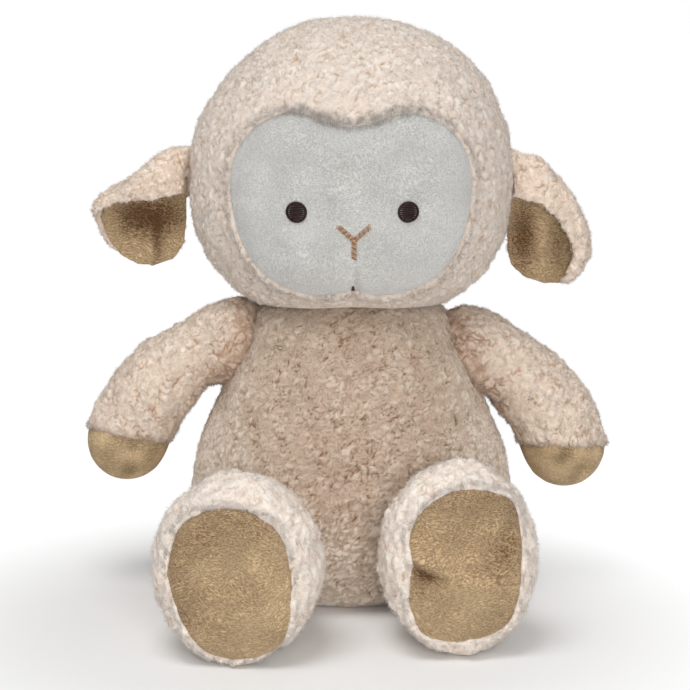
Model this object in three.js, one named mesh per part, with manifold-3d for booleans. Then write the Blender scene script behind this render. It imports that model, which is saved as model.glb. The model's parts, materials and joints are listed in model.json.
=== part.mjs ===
// A stuffed sheep that sits upright: fleece coat, smooth velour face, soft ears and limbs.
// Units are millimetres. It stands on z = 0, looks along -Y and has its left side at +X.

import * as THREE from 'three';
import { mergeVertices } from 'three/addons/utils/BufferGeometryUtils.js';
import Module from 'manifold-3d';

const wasm = await Module();
wasm.setup();

// Clearances and overruns that several pieces share
const restGap = 0.35;
const layerGap = 0.5;
const runningGap = 0.9;
const overrun = 8;
const weldDistance = 0.001;

// Cloth
const coatWall = 2.6;
const velourWall = 2;

// Torso: heights above the floor and half sizes of the fleece outline
const torso = {
  loftHeight: 140,
  halfWidth: 88.5,
  halfDepth: 76,
  sides: 24,
  coarseSides: 12,
};
// Each row is a share of the loft height, the half width and the half depth
const torsoProfileShares = [
  [0, 0.72, 0.7],
  [0.035, 0.83, 0.81],
  [0.11, 0.92, 0.91],
  [0.22, 0.98, 0.985],
  [0.34, 1, 1],
  [0.48, 0.985, 0.985],
  [0.6, 0.93, 0.93],
  [0.71, 0.86, 0.865],
  [0.82, 0.775, 0.835],
  [0.92, 0.705, 0.81],
  [1, 0.63, 0.73],
];

// Neck: the head rolls on a ball-shaped shoulder top
const neck = {
  sink: 20,
  domeRadius: 62.5,
  openingRadius: 32,
  wadDepth: 26,
  domeSides: 24,
  openingSides: 18,
};
const neckHeight = torso.loftHeight - neck.sink;

// Seat
const seat = {
  halfWidth: 54,
  halfDepth: 44,
};
const pouch = {
  halfWidth: 44,
  halfDepth: 36,
  height: 34,
  shiftBack: 6,
};
// Each row is a share of the pouch's height and of its half sizes
const pouchProfileShares = [[0, 0.8], [0.3, 1], [0.6, 1], [1, 0.62]];

// Head: the half outline is a soft square, taller above its widest line than below
const head = {
  aboveNeck: 105,
  halfWidth: 87.3,
  rise: 87,
  drop: 72.5,
  frontDepth: 72,
  backDepth: 72,
  riseExponent: 2.35,
  dropExponent: 2.6,
  swellFadeShare: 0.62,
  sides: 30,
  rings: 15,
  coarseSides: 16,
  coarseRings: 8,
};
const headHeight = neckHeight + head.aboveNeck;

// Soft swellings and hollows of the face: places from the head's widest line, reach along Y
const faceSwells = {
  leftCheek: { across: 29, up: -35, reach: 6.5, spreadAcross: 21, spreadUp: 19 },
  rightCheek: { across: -27, up: -35, reach: 6.5, spreadAcross: 21, spreadUp: 19 },
  muzzle: { across: 1, up: -20, reach: 4, spreadAcross: 17, spreadUp: 15 },
  brow: { across: 0, up: 21, reach: 2, spreadAcross: 32, spreadUp: 16 },
  chinTuck: { across: 1, up: -53, reach: -6, spreadAcross: 6, spreadUp: 14 },
};

// Velour face panel: it is let into the coat, so its surface lies a little below the fleece
const face = {
  recess: 1.2,
  halfWidth: 65,
  height: 95,
  belowWidest: 51.5,
  outlineSteps: 20,
};
const faceBottom = headHeight - face.belowWidest;
// Outline of half the panel from the brow to the chin tuck, as shares of half width and height
const faceOutlineShares = [
  [0, 0.93],
  [0.185, 0.955],
  [0.445, 1],
  [0.69, 0.955],
  [0.88, 0.845],
  [0.985, 0.7],
  [1, 0.54],
  [0.94, 0.32],
  [0.8, 0.163],
  [0.585, 0.053],
  [0.34, 0],
  [0.14, 0.005],
  [0, 0.037],
];

const eye = {
  radius: 5.5,
  drop: 7,
  leftAcross: 29.3,
  rightAcross: -28,
  swell: 2.6,
  sides: 16,
  rings: 10,
};
const eyeHeight = headHeight - eye.drop;

// Y-shaped nose stitch, as seen from its fork
const nose = {
  across: 1.6,
  forkDrop: 22,
  tipSpread: 7.8,
  tipRise: 7,
  stem: 9.5,
  stroke: 2.4,
  thickness: 1.1,
  roundSteps: 6,
};
const forkHeight = headHeight - nose.forkDrop;
const tuckStitch = {
  width: 1.8,
  reach: 5,
  across: 1,
  drop: 44,
  thickness: 0.9,
};

// Ears: a coat layer outside and a smooth lining inside, with the upper edge rolled forward
const ear = {
  coatThickness: 3.6,
  liningThickness: 1.8,
  rootRadius: 4.2,
  rootOut: 1.1,
  rootForward: -1,
  rootRise: 5,
  rootHalfLength: 13,
  rootSides: 12,
  spans: 8,
  backSteps: 5,
  turnSteps: 5,
  flapSteps: 2,
};
const earHeight = headHeight + ear.rootRise;
const earAcross = head.halfWidth + ear.rootOut;
// Both edges run from the root to the tip, as shares of the reach and of the height
const earSides = {
  left: {
    side: 1,
    reach: 43,
    height: 74,
    topEdgeShares: [
      [0.08, 0.16], [0.31, 0.11], [0.57, -0.03], [0.82, -0.24], [0.97, -0.47], [0.95, -0.69], [0.68, -0.82],
    ],
    lowEdgeShares: [
      [0.08, -0.16], [0.04, -0.25], [0.03, -0.34], [0.03, -0.46], [0.04, -0.61], [0.14, -0.745], [0.4, -0.83],
    ],
    rollRadius: 4.6,
    rollShares: [0.3, 0.6, 0.9, 1, 1, 1, 0.95, 0.8, 0.45],
    flap: 17.3,
    flapShares: [0.93, 1, 0.79, 0.55, 0.38, 0.26, 0.2, 0.18, 0.03],
    cup: 5,
  },
  right: {
    side: -1,
    reach: 53,
    height: 66,
    topEdgeShares: [
      [0.07, 0.2], [0.22, 0.2], [0.42, 0.07], [0.62, -0.05], [0.83, -0.15], [0.96, -0.24], [1, -0.31],
    ],
    lowEdgeShares: [
      [0.07, -0.18], [0.08, -0.45], [0.13, -0.68], [0.36, -0.775], [0.58, -0.745], [0.84, -0.61], [0.96, -0.45],
    ],
    rollRadius: 5.6,
    rollShares: [0.4, 0.6, 0.9, 1, 0.9, 0.7, 0.55, 0.45, 0.4],
    flap: 18.5,
    flapShares: [0.97, 1, 0.8, 0.53, 0.23, 0.06, 0.04, 0.03, 0.02],
    cup: 5,
  },
};

// Arms: a round shoulder that turns flat against the torso, and a bent sleeve with a bare hand
const armSides = {
  left: {
    side: 1,
    shoulderInset: 26.5,
    shoulderDrop: 9.5,
    shoulderRadius: 25.2,
    seamTilt: 23,
    reachOut: 56,
    reachDown: 53,
    radius: 24,
    handLength: 27,
    handTilt: 2,
  },
  right: {
    side: -1,
    shoulderInset: 27.5,
    shoulderDrop: 5,
    shoulderRadius: 25.5,
    seamTilt: 20,
    reachOut: 63,
    reachDown: 54.5,
    radius: 23.5,
    handLength: 29,
    handTilt: -10,
  },
};
const arm = {
  rootDepth: 6,
  shoulderBulge: 34,
  flankRadius: 38,
  flankDepth: 2,
  sides: 16,
  coarseSides: 10,
  shoulderSides: 18,
  spans: 7,
  endRings: 3,
  endSweepShare: 0.86,
  depthShare: 0.96,
};
const armSpineShares = [[0, 0], [0.4, 0.11], [0.71, 0.42], [0.92, 0.74], [1, 1]];
const armRadiusShares = [0.42, 0.7, 0.86, 0.93, 0.98, 1, 1, 1];
// Each row is a share of the shoulder's bulge and of its radius
const shoulderProfileShares = [[0, 1], [0.15, 0.985], [0.35, 0.9], [0.55, 0.74], [0.75, 0.5], [1, 0]];

// Legs: a ball at the hip and a fat foot whose sole faces forward
const legSides = {
  left: {
    side: 1,
    hipInset: 40.5,
    toeOut: 7,
    pitch: 6,
    footHalfWidth: 41,
    footHalfHeight: 50,
    reach: 74,
    soleHalfWidth: 30,
    soleHalfHeight: 37.5,
  },
  right: {
    side: -1,
    hipInset: 40.5,
    toeOut: 8,
    pitch: 3,
    footHalfWidth: 43.5,
    footHalfHeight: 48,
    reach: 88,
    soleHalfWidth: 32,
    soleHalfHeight: 36.5,
  },
};
const leg = {
  hipDepth: 14,
  hipHeight: 40,
  hipRadius: 31,
  hipSides: 16,
  sides: 20,
  coarseSides: 12,
  floorCut: 0.5,
  soleDome: 2.4,
};
// Each row is a share of the reach, of the half width and of the half height
const legProfileShares = [
  [0.1, 0.62, 0.46],
  [0.28, 0.74, 0.62],
  [0.42, 0.86, 0.8],
  [0.58, 0.96, 0.94],
  [0.74, 1, 1],
  [0.88, 0.96, 0.96],
  [0.96, 0.88, 0.89],
  [1, 0.8, 0.81],
];

// Each row is a share of the sole's bulge and of its half sizes
const soleDomeShares = [[0.4, 0.9], [1, 0.55]];

const tail = {
  rootHeight: 62,
  rootDepth: 1,
  rootRadius: 7.5,
  drop: 36,
  halfWidth: 14,
  halfDepth: 10.5,
  leanBack: 16,
  leanShare: 0.35,
  sides: 12,
};
// Each row is a share of the drop and of the half sizes
const tailProfileShares = [[0.08, 0.5], [0.3, 0.8], [0.55, 1], [0.8, 0.86], [0.94, 0.52]];

// Colours and surface of each cloth, from the photograph
const coatFinish = { color: 0xdccbb8, roughness: 0.95, metalness: 0 };
const faceFinish = { color: 0xd2d2cc, roughness: 0.85, metalness: 0 };
const tanFinish = { color: 0xb8946c, roughness: 0.85, metalness: 0 };
const eyeFinish = { color: 0x33191a, roughness: 0.4, metalness: 0 };
const noseFinish = { color: 0xa57a58, roughness: 0.5, metalness: 0 };
const tuckFinish = { color: 0x4a3226, roughness: 0.6, metalness: 0 };
const fillFinish = { color: 0xf2f1ec, roughness: 1, metalness: 0 };
const pouchFinish = { color: 0xc9c6bd, roughness: 0.9, metalness: 0 };

const degree = Math.PI / 180;

// A geometry as a solid that can be cut and joined
function solidOf(geometry) {
  const plain = geometry.clone();
  plain.deleteAttribute('normal');
  plain.deleteAttribute('uv');
  const merged = mergeVertices(plain, weldDistance);
  return new wasm.Manifold(new wasm.Mesh({
    numProp: 3,
    vertProperties: new Float32Array(merged.attributes.position.array),
    triVerts: new Uint32Array(merged.index.array),
  }));
}

// A cut solid back as a geometry
function geometryOf(solid) {
  const mesh = solid.getMesh();
  const geometry = new THREE.BufferGeometry();
  geometry.setAttribute('position', new THREE.BufferAttribute(mesh.vertProperties, 3));
  geometry.setIndex(new THREE.BufferAttribute(mesh.triVerts, 1));
  geometry.computeVertexNormals();
  return geometry;
}

// A named mesh in its own material, at a place
function pieceOf(name, solid, finish, place = [0, 0, 0]) {
  const mesh = new THREE.Mesh(geometryOf(solid), new THREE.MeshStandardMaterial(finish));
  mesh.name = name;
  mesh.position.set(...place);
  return mesh;
}

// A closed skin over rings of points; all rings hold the same number of points
function loft(rings) {
  const sides = rings[0].length;
  const points = rings.flat();
  const faces = [];
  for (let ring = 0; ring + 1 < rings.length; ring += 1) {
    for (let side = 0; side < sides; side += 1) {
      const next = (side + 1) % sides;
      const low = ring * sides;
      const high = low + sides;
      faces.push(low + side, low + next, high + next);
      faces.push(low + side, high + next, high + side);
    }
  }
  const capEnd = (ringPoints, start, outward) => {
    const centre = new THREE.Vector3();
    ringPoints.forEach((point) => centre.add(point));
    centre.divideScalar(sides);
    points.push(centre);
    const hub = points.length - 1;
    for (let side = 0; side < sides; side += 1) {
      const next = (side + 1) % sides;
      if (outward) {
        faces.push(hub, start + side, start + next);
      } else {
        faces.push(hub, start + next, start + side);
      }
    }
  };
  capEnd(rings[0], 0, false);
  capEnd(rings[rings.length - 1], (rings.length - 1) * sides, true);
  const geometry = new THREE.BufferGeometry().setFromPoints(points);
  geometry.setIndex(faces);
  const solid = solidOf(geometry);
  if (solid.volume() < 0) {
    geometry.setIndex(faces.reverse());
    return solidOf(geometry);
  }
  return solid;
}

// A closed solid between two sheets of points, each a grid of rows
function sheet(outer, inner) {
  const rows = outer.length;
  const columns = outer[0].length;
  const points = [...outer.flat(), ...inner.flat()];
  const at = (layer, row, column) => (layer * rows + row) * columns + column;
  const faces = [];
  const quad = (a, b, c, d) => faces.push(a, b, c, a, c, d);
  for (let row = 0; row + 1 < rows; row += 1) {
    for (let column = 0; column + 1 < columns; column += 1) {
      quad(at(0, row, column), at(0, row, column + 1), at(0, row + 1, column + 1), at(0, row + 1, column));
      quad(at(1, row, column), at(1, row + 1, column), at(1, row + 1, column + 1), at(1, row, column + 1));
    }
    const last = columns - 1;
    quad(at(0, row, 0), at(0, row + 1, 0), at(1, row + 1, 0), at(1, row, 0));
    quad(at(0, row, last), at(1, row, last), at(1, row + 1, last), at(0, row + 1, last));
  }
  for (let column = 0; column + 1 < columns; column += 1) {
    const last = rows - 1;
    quad(at(0, 0, column), at(1, 0, column), at(1, 0, column + 1), at(0, 0, column + 1));
    quad(at(0, last, column), at(0, last, column + 1), at(1, last, column + 1), at(1, last, column));
  }
  const geometry = new THREE.BufferGeometry().setFromPoints(points);
  geometry.setIndex(faces);
  const solid = solidOf(geometry);
  if (solid.volume() < 0) {
    geometry.setIndex(faces.reverse());
    return solidOf(geometry);
  }
  return solid;
}

// Points of an ellipse in the XY plane at one height
function flatRing(halfWidth, halfDepth, height, sides, shiftY = 0) {
  const ring = [];
  for (let side = 0; side < sides; side += 1) {
    const angle = (side / sides) * 2 * Math.PI;
    ring.push(new THREE.Vector3(halfWidth * Math.cos(angle), halfDepth * Math.sin(angle) + shiftY, height));
  }
  return ring;
}

// A ball whose poles lie along X, or along Z
function ball(radius, centre, sides, poleAlongX = false) {
  const sphere = new THREE.SphereGeometry(radius, sides, Math.ceil(sides / 2));
  if (poleAlongX) {
    sphere.rotateZ(Math.PI / 2);
  } else {
    sphere.rotateX(Math.PI / 2);
  }
  sphere.translate(...centre);
  return solidOf(sphere);
}

// A round bar about an axis, between two distances along it
function bar(radius, from, to, direction, centre, sides) {
  const geometry = new THREE.CylinderGeometry(radius, radius, to - from, sides);
  geometry.translate(0, (from + to) / 2, 0);
  const turn = new THREE.Quaternion().setFromUnitVectors(new THREE.Vector3(0, 1, 0), direction);
  geometry.applyQuaternion(turn);
  geometry.translate(...centre);
  return solidOf(geometry);
}

function block(low, high) {
  const geometry = new THREE.BoxGeometry(high[0] - low[0], high[1] - low[1], high[2] - low[2]);
  geometry.translate((low[0] + high[0]) / 2, (low[1] + high[1]) / 2, (low[2] + high[2]) / 2);
  return solidOf(geometry);
}

// Everything above the floor, as far as the toy reaches
function roomAbove(height) {
  const reach = 2 * (headHeight + head.rise);
  return block([-reach, -reach, height], [reach, reach, reach]);
}

const neckCentre = [0, 0, neckHeight];

// Places of the joints, as seen from the origin
function hipPlace(sizes) {
  return [
    sizes.side * (torso.halfWidth - sizes.hipInset),
    leg.hipDepth - torso.halfDepth,
    leg.hipHeight,
  ];
}

function shoulderPlace(sizes) {
  return [
    sizes.side * (torso.halfWidth - sizes.shoulderInset),
    0,
    torso.loftHeight - sizes.shoulderDrop,
  ];
}

function shoulderOutward(sizes) {
  const tilt = sizes.seamTilt * degree;
  return new THREE.Vector3(sizes.side * Math.cos(tilt), 0, Math.sin(tilt));
}

const tailPlace = [0, torso.halfDepth - tail.rootDepth, tail.rootHeight];

// The torso's form, drawn in by an inset, with the seats of neck, arms, legs and tail
function torsoForm(inset, fine) {
  const sides = fine ? torso.sides : torso.coarseSides;
  const rows = torsoProfileShares.filter((row, index) => fine || index % 2 === 0);
  const rings = rows.map(([heightShare, widthShare, depthShare]) => flatRing(
    torso.halfWidth * widthShare - inset,
    torso.halfDepth * depthShare - inset,
    Math.max(torso.loftHeight * heightShare, inset),
    sides,
  )).filter((ring, index, all) => index === 0 || ring[0].z > all[index - 1][0].z);
  const domeSides = fine ? neck.domeSides : torso.coarseSides;
  let form = loft(rings);
  const dome = ball(neck.domeRadius - inset, neckCentre, domeSides);
  form = form.add(dome.intersect(roomAbove(neckHeight)));
  for (const sizes of Object.values(legSides)) {
    const socketSides = fine ? leg.hipSides : torso.coarseSides;
    form = form.subtract(ball(leg.hipRadius + runningGap + inset, hipPlace(sizes), socketSides, true));
  }
  for (const sizes of Object.values(armSides)) {
    const pocket = bar(
      sizes.shoulderRadius + runningGap + inset,
      -arm.rootDepth - runningGap - inset,
      arm.shoulderBulge,
      shoulderOutward(sizes),
      shoulderPlace(sizes),
      fine ? arm.shoulderSides : torso.coarseSides,
    );
    const flank = bar(
      arm.flankRadius,
      -arm.flankDepth - inset,
      arm.shoulderBulge,
      shoulderOutward(sizes),
      shoulderPlace(sizes),
      fine ? arm.shoulderSides : torso.coarseSides,
    );
    form = form.subtract(pocket).subtract(flank);
  }
  return form.subtract(ball(tail.rootRadius + runningGap + inset, tailPlace, tail.sides, true));
}

function makeTorso() {
  const hollow = torsoForm(coatWall, false);
  const seatCut = loft([
    flatRing(seat.halfWidth + restGap, seat.halfDepth + restGap, -overrun, torso.sides),
    flatRing(seat.halfWidth + restGap, seat.halfDepth + restGap, coatWall + overrun, torso.sides),
  ]);
  const up = new THREE.Vector3(0, 0, 1);
  const wadBottom = neck.domeRadius - neck.wadDepth;
  const neckCut = bar(
    neck.openingRadius + runningGap,
    wadBottom - runningGap,
    neck.domeRadius + overrun,
    up,
    neckCentre,
    neck.openingSides,
  );
  const skin = torsoForm(0, true).subtract(hollow).subtract(seatCut).subtract(neckCut);

  const seatPanel = loft([
    flatRing(seat.halfWidth, seat.halfDepth, 0, torso.sides),
    flatRing(seat.halfWidth, seat.halfDepth, coatWall, torso.sides),
  ]);

  const pouchFloor = coatWall + restGap;
  const pouchRings = (grow, bottom) => pouchProfileShares.map(([heightShare, sizeShare]) => flatRing(
    pouch.halfWidth * sizeShare + grow,
    pouch.halfDepth * sizeShare + grow,
    heightShare === 0 ? bottom : pouchFloor + (pouch.height + grow) * heightShare,
    torso.coarseSides,
    pouch.shiftBack,
  ));
  const pelletPouch = loft(pouchRings(0, pouchFloor));
  const pouchPocket = loft(pouchRings(restGap, -overrun));
  const stuffing = torsoForm(coatWall + restGap, false).subtract(neckCut).subtract(pouchPocket);

  const wad = ball(neck.domeRadius, neckCentre, neck.domeSides).intersect(bar(
    neck.openingRadius,
    wadBottom,
    neck.domeRadius + overrun,
    up,
    neckCentre,
    neck.openingSides,
  ));

  const group = new THREE.Group();
  group.add(
    pieceOf('body_skin', skin, coatFinish),
    pieceOf('body_stuffing', stuffing, fillFinish),
    pieceOf('seat_panel', seatPanel, coatFinish),
    pieceOf('pellet_pouch', pelletPouch, pouchFinish),
    pieceOf('neck_wad', wad, fillFinish),
  );
  return group;
}

// How far the face swells forward at a place across and up
function faceSwell(across, height) {
  let reach = 0;
  for (const swell of Object.values(faceSwells)) {
    const sideways = (across - swell.across) / swell.spreadAcross;
    const upward = (height - headHeight - swell.up) / swell.spreadUp;
    reach += swell.reach * Math.exp(-(sideways ** 2) - (upward ** 2));
  }
  return reach;
}

// The head's form, drawn in by an inset, in the frame of the floor
function headForm(inset, fine) {
  const sides = fine ? head.sides : head.coarseSides;
  const count = fine ? head.rings : head.coarseRings;
  const rings = [];
  for (let index = 1; index < count; index += 1) {
    const polar = (index / count - 0.5) * Math.PI;
    const above = polar > 0;
    const exponent = above ? head.riseExponent : head.dropExponent;
    const tall = (above ? head.rise : head.drop) - inset;
    const height = headHeight + tall * Math.sign(polar) * Math.abs(Math.sin(polar)) ** (2 / exponent);
    const girthShare = Math.cos(polar) ** (2 / exponent);
    const ring = [];
    for (let side = 0; side < sides; side += 1) {
      const angle = (side / sides) * 2 * Math.PI;
      const across = (head.halfWidth - inset) * girthShare * Math.cos(angle);
      const front = Math.sin(angle) < 0;
      const depth = (front ? head.frontDepth : head.backDepth) - inset;
      const fade = front ? Math.min(1, -Math.sin(angle) / head.swellFadeShare) * girthShare : 0;
      const forward = depth * girthShare * Math.sin(angle) - fade * faceSwell(across, height);
      ring.push(new THREE.Vector3(across, forward, height));
    }
    rings.push(ring);
  }
  return loft(rings);
}

// A prism that stands behind and in front of an outline drawn across and up
function frontPrism(outline) {
  const shape = new THREE.Shape(outline.map(([across, height]) => new THREE.Vector2(across, height)));
  const depth = 2 * head.frontDepth;
  const geometry = new THREE.ExtrudeGeometry(shape, { depth, bevelEnabled: false, steps: 1 });
  geometry.rotateX(Math.PI / 2);
  return solidOf(geometry);
}

// The outline of the whole face panel, spread outward by a gap
function faceOutlinePoints(spread) {
  const left = new THREE.CatmullRomCurve3(faceOutlineShares.map(([acrossShare, upShare]) => (
    new THREE.Vector3(acrossShare * face.halfWidth, faceBottom + upShare * face.height, 0)
  )), false, 'centripetal');
  const half = left.getPoints(face.outlineSteps);
  const whole = [...half];
  for (let index = half.length - 2; index > 0; index -= 1) {
    whole.push(new THREE.Vector3(-half[index].x, half[index].y, 0));
  }
  return whole.map((point) => {
    const outward = new THREE.Vector3(point.x, point.y - faceBottom - face.height / 2, 0).normalize();
    return [point.x + outward.x * spread, point.y + outward.y * spread];
  });
}

// The stroke between two places, as an outline with round ends
function strokeOutline(from, to, width) {
  const along = new THREE.Vector2(to[0] - from[0], to[1] - from[1]).normalize();
  const start = Math.atan2(along.x, -along.y);
  const outline = [];
  for (const [end, turn] of [[to, start - Math.PI], [from, start]]) {
    for (let step = 0; step <= nose.roundSteps; step += 1) {
      const angle = turn + (step / nose.roundSteps) * Math.PI;
      outline.push([end[0] + (width / 2) * Math.cos(angle), end[1] + (width / 2) * Math.sin(angle)]);
    }
  }
  return outline;
}

// A layer of thread or cloth that lies on the face
function faceLayer(prism, lift, thickness) {
  const low = face.recess - lift;
  return prism.intersect(headForm(low - thickness, true)).subtract(headForm(low, true));
}

function makeHead() {
  const place = neckCentre;
  const away = place.map((value) => -value);
  const cavityRadius = neck.domeRadius + runningGap;
  const grooves = (spread) => {
    let cut = null;
    for (const sizes of Object.values(earSides)) {
      const bed = bar(
        ear.rootRadius + runningGap + spread,
        -ear.rootHalfLength - runningGap - spread,
        ear.rootHalfLength + runningGap + spread,
        new THREE.Vector3(0, 0, 1),
        [sizes.side * earAcross, ear.rootForward, earHeight],
        ear.rootSides,
      );
      cut = cut ? cut.add(bed) : bed;
    }
    return cut;
  };
  const opening = bar(
    neck.openingRadius,
    0,
    headHeight - neckHeight,
    new THREE.Vector3(0, 0, 1),
    neckCentre,
    head.coarseSides,
  );
  const throat = bar(
    neck.openingRadius - restGap,
    0,
    headHeight - neckHeight,
    new THREE.Vector3(0, 0, 1),
    neckCentre,
    head.coarseSides,
  );
  const solidHead = headForm(0, true)
    .subtract(ball(cavityRadius, neckCentre, neck.domeSides))
    .subtract(grooves(0));
  const hollow = headForm(coatWall, false)
    .subtract(ball(cavityRadius + coatWall, neckCentre, torso.coarseSides))
    .subtract(grooves(coatWall));
  const facePrism = frontPrism(faceOutlinePoints(restGap));
  const skin = solidHead.subtract(hollow).subtract(opening).subtract(facePrism);

  const panelBack = face.recess + velourWall;
  const fill = headForm(coatWall + restGap, false)
    .subtract(grooves(coatWall + restGap))
    .subtract(facePrism.subtract(headForm(panelBack + restGap, true)));
  const upper = fill.subtract(ball(cavityRadius + coatWall + restGap, neckCentre, torso.coarseSides));
  const plug = fill.intersect(throat).subtract(ball(cavityRadius, neckCentre, neck.domeSides));
  const stuffing = upper.add(plug);

  const panel = frontPrism(faceOutlinePoints(0))
    .intersect(headForm(face.recess, true))
    .subtract(headForm(panelBack, true));

  const eyeAt = (across) => {
    const onFace = face.recess - restGap;
    const pad = new THREE.SphereGeometry(eye.radius, eye.sides, eye.rings);
    pad.scale(1, eye.swell / eye.radius, 1);
    pad.translate(across, headFront(across, eyeHeight, onFace), eyeHeight);
    return solidOf(pad).subtract(headForm(onFace, true));
  };

  const fork = [nose.across, forkHeight];
  const strokeEnds = [
    [nose.across + nose.tipSpread, forkHeight + nose.tipRise],
    [nose.across - nose.tipSpread, forkHeight + nose.tipRise],
    [nose.across, forkHeight - nose.stem],
  ];
  const nosePrism = strokeEnds
    .map((end) => frontPrism(strokeOutline(fork, end, nose.stroke)))
    .reduce((joined, stroke) => joined.add(stroke));
  const tuckEnds = [tuckStitch.reach / 2, -tuckStitch.reach / 2].map((shift) => (
    [tuckStitch.across, headHeight - tuckStitch.drop + shift]));
  const tuckPrism = frontPrism(strokeOutline(tuckEnds[0], tuckEnds[1], tuckStitch.width));

  const group = new THREE.Group();
  group.position.set(...place);
  group.add(
    pieceOf('head_skin', skin, coatFinish, away),
    pieceOf('head_stuffing', stuffing, fillFinish, away),
    pieceOf('face_panel', panel, faceFinish, away),
    pieceOf('left_eye', eyeAt(eye.leftAcross), eyeFinish, away),
    pieceOf('right_eye', eyeAt(eye.rightAcross), eyeFinish, away),
    pieceOf('nose_stitch', faceLayer(nosePrism, restGap, nose.thickness), noseFinish, away),
    pieceOf('chin_tuck_stitch', faceLayer(tuckPrism, restGap, tuckStitch.thickness), tuckFinish, away),
  );
  for (const name of ['left', 'right']) {
    group.add(makeEar(name));
  }
  return group;
}

// Where the head's front lies at a place across and up
function headFront(across, height, inset) {
  const above = height > headHeight;
  const exponent = above ? head.riseExponent : head.dropExponent;
  const tall = (above ? head.rise : head.drop) - inset;
  const girthShare = (1 - (Math.abs(height - headHeight) / tall) ** exponent) ** (1 / exponent);
  const sine = Math.sqrt(1 - (across / ((head.halfWidth - inset) * girthShare)) ** 2);
  const fade = Math.min(1, sine / head.swellFadeShare) * girthShare;
  return -(head.frontDepth - inset) * girthShare * sine - fade * faceSwell(across, height);
}

// One layer of an ear between two distances from its middle, seen from its root
function earLayer(sizes, outer, inner) {
  const edge = (shares) => new THREE.CatmullRomCurve3(shares.map(([outShare, upShare]) => (
    new THREE.Vector3(outShare * sizes.reach, 0, upShare * sizes.height))));
  const topEdge = edge(sizes.topEdgeShares);
  const lowEdge = edge(sizes.lowEdgeShares);
  const grids = [outer, inner].map((offset) => {
    const grid = [];
    for (let station = 0; station <= ear.spans; station += 1) {
      const share = station / ear.spans;
      const low = lowEdge.getPoint(share);
      const top = topEdge.getPoint(share);
      const width = low.distanceTo(top);
      const acrossWay = top.clone().sub(low).normalize();
      const leastRoll = ear.liningThickness + restGap;
      const rollShare = sizes.rollShares[station];
      const roll = Math.max(sizes.rollRadius * rollShare, leastRoll);
      const flap = sizes.flap * sizes.flapShares[station];
      const row = earSection(width, roll, flap, sizes.cup * rollShare, offset);
      grid.push(row.map(([across, forward]) => {
        const point = low.clone().addScaledVector(acrossWay, across);
        point.y = -forward;
        point.x *= sizes.side;
        return point;
      }));
    }
    return grid;
  });
  return sheet(grids[0], grids[1]);
}

// The ear cut across: up its back, over the rolled edge and down the flap in front
function earSection(width, roll, flap, cup, offset) {
  const row = [];
  const top = width - roll - ear.coatThickness;
  for (let step = 0; step <= ear.backSteps; step += 1) {
    const share = step / ear.backSteps;
    const across = top * share;
    const bend = cup * (1 - share) ** 2;
    row.push([across, bend - offset]);
  }
  for (let step = 1; step <= ear.turnSteps; step += 1) {
    const angle = (step / ear.turnSteps) * Math.PI;
    const radius = roll + offset;
    row.push([top + radius * Math.sin(angle), roll - radius * Math.cos(angle)]);
  }
  for (let step = 1; step <= ear.flapSteps; step += 1) {
    row.push([top - flap * (step / ear.flapSteps), 2 * roll + offset]);
  }
  return row;
}

function makeEar(name) {
  const sizes = earSides[name];
  const gapHalf = layerGap / 2;
  const root = bar(
    ear.rootRadius,
    -ear.rootHalfLength,
    ear.rootHalfLength,
    new THREE.Vector3(0, 0, 1),
    [0, 0, 0],
    ear.rootSides,
  );
  const lining = earLayer(sizes, -gapHalf, -gapHalf - ear.liningThickness);
  const rootSpace = bar(
    ear.rootRadius + restGap,
    -ear.rootHalfLength - overrun,
    ear.rootHalfLength + overrun,
    new THREE.Vector3(0, 0, 1),
    [0, 0, 0],
    ear.rootSides,
  );
  const back = earLayer(sizes, gapHalf + ear.coatThickness, gapHalf).add(root);
  const group = new THREE.Group();
  group.position.set(
    sizes.side * earAcross,
    ear.rootForward,
    earHeight - neckHeight,
  );
  group.add(
    pieceOf(`${name}_ear_back`, back, coatFinish),
    pieceOf(`${name}_ear_lining`, lining.subtract(rootSpace), tanFinish),
  );
  return group;
}

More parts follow.
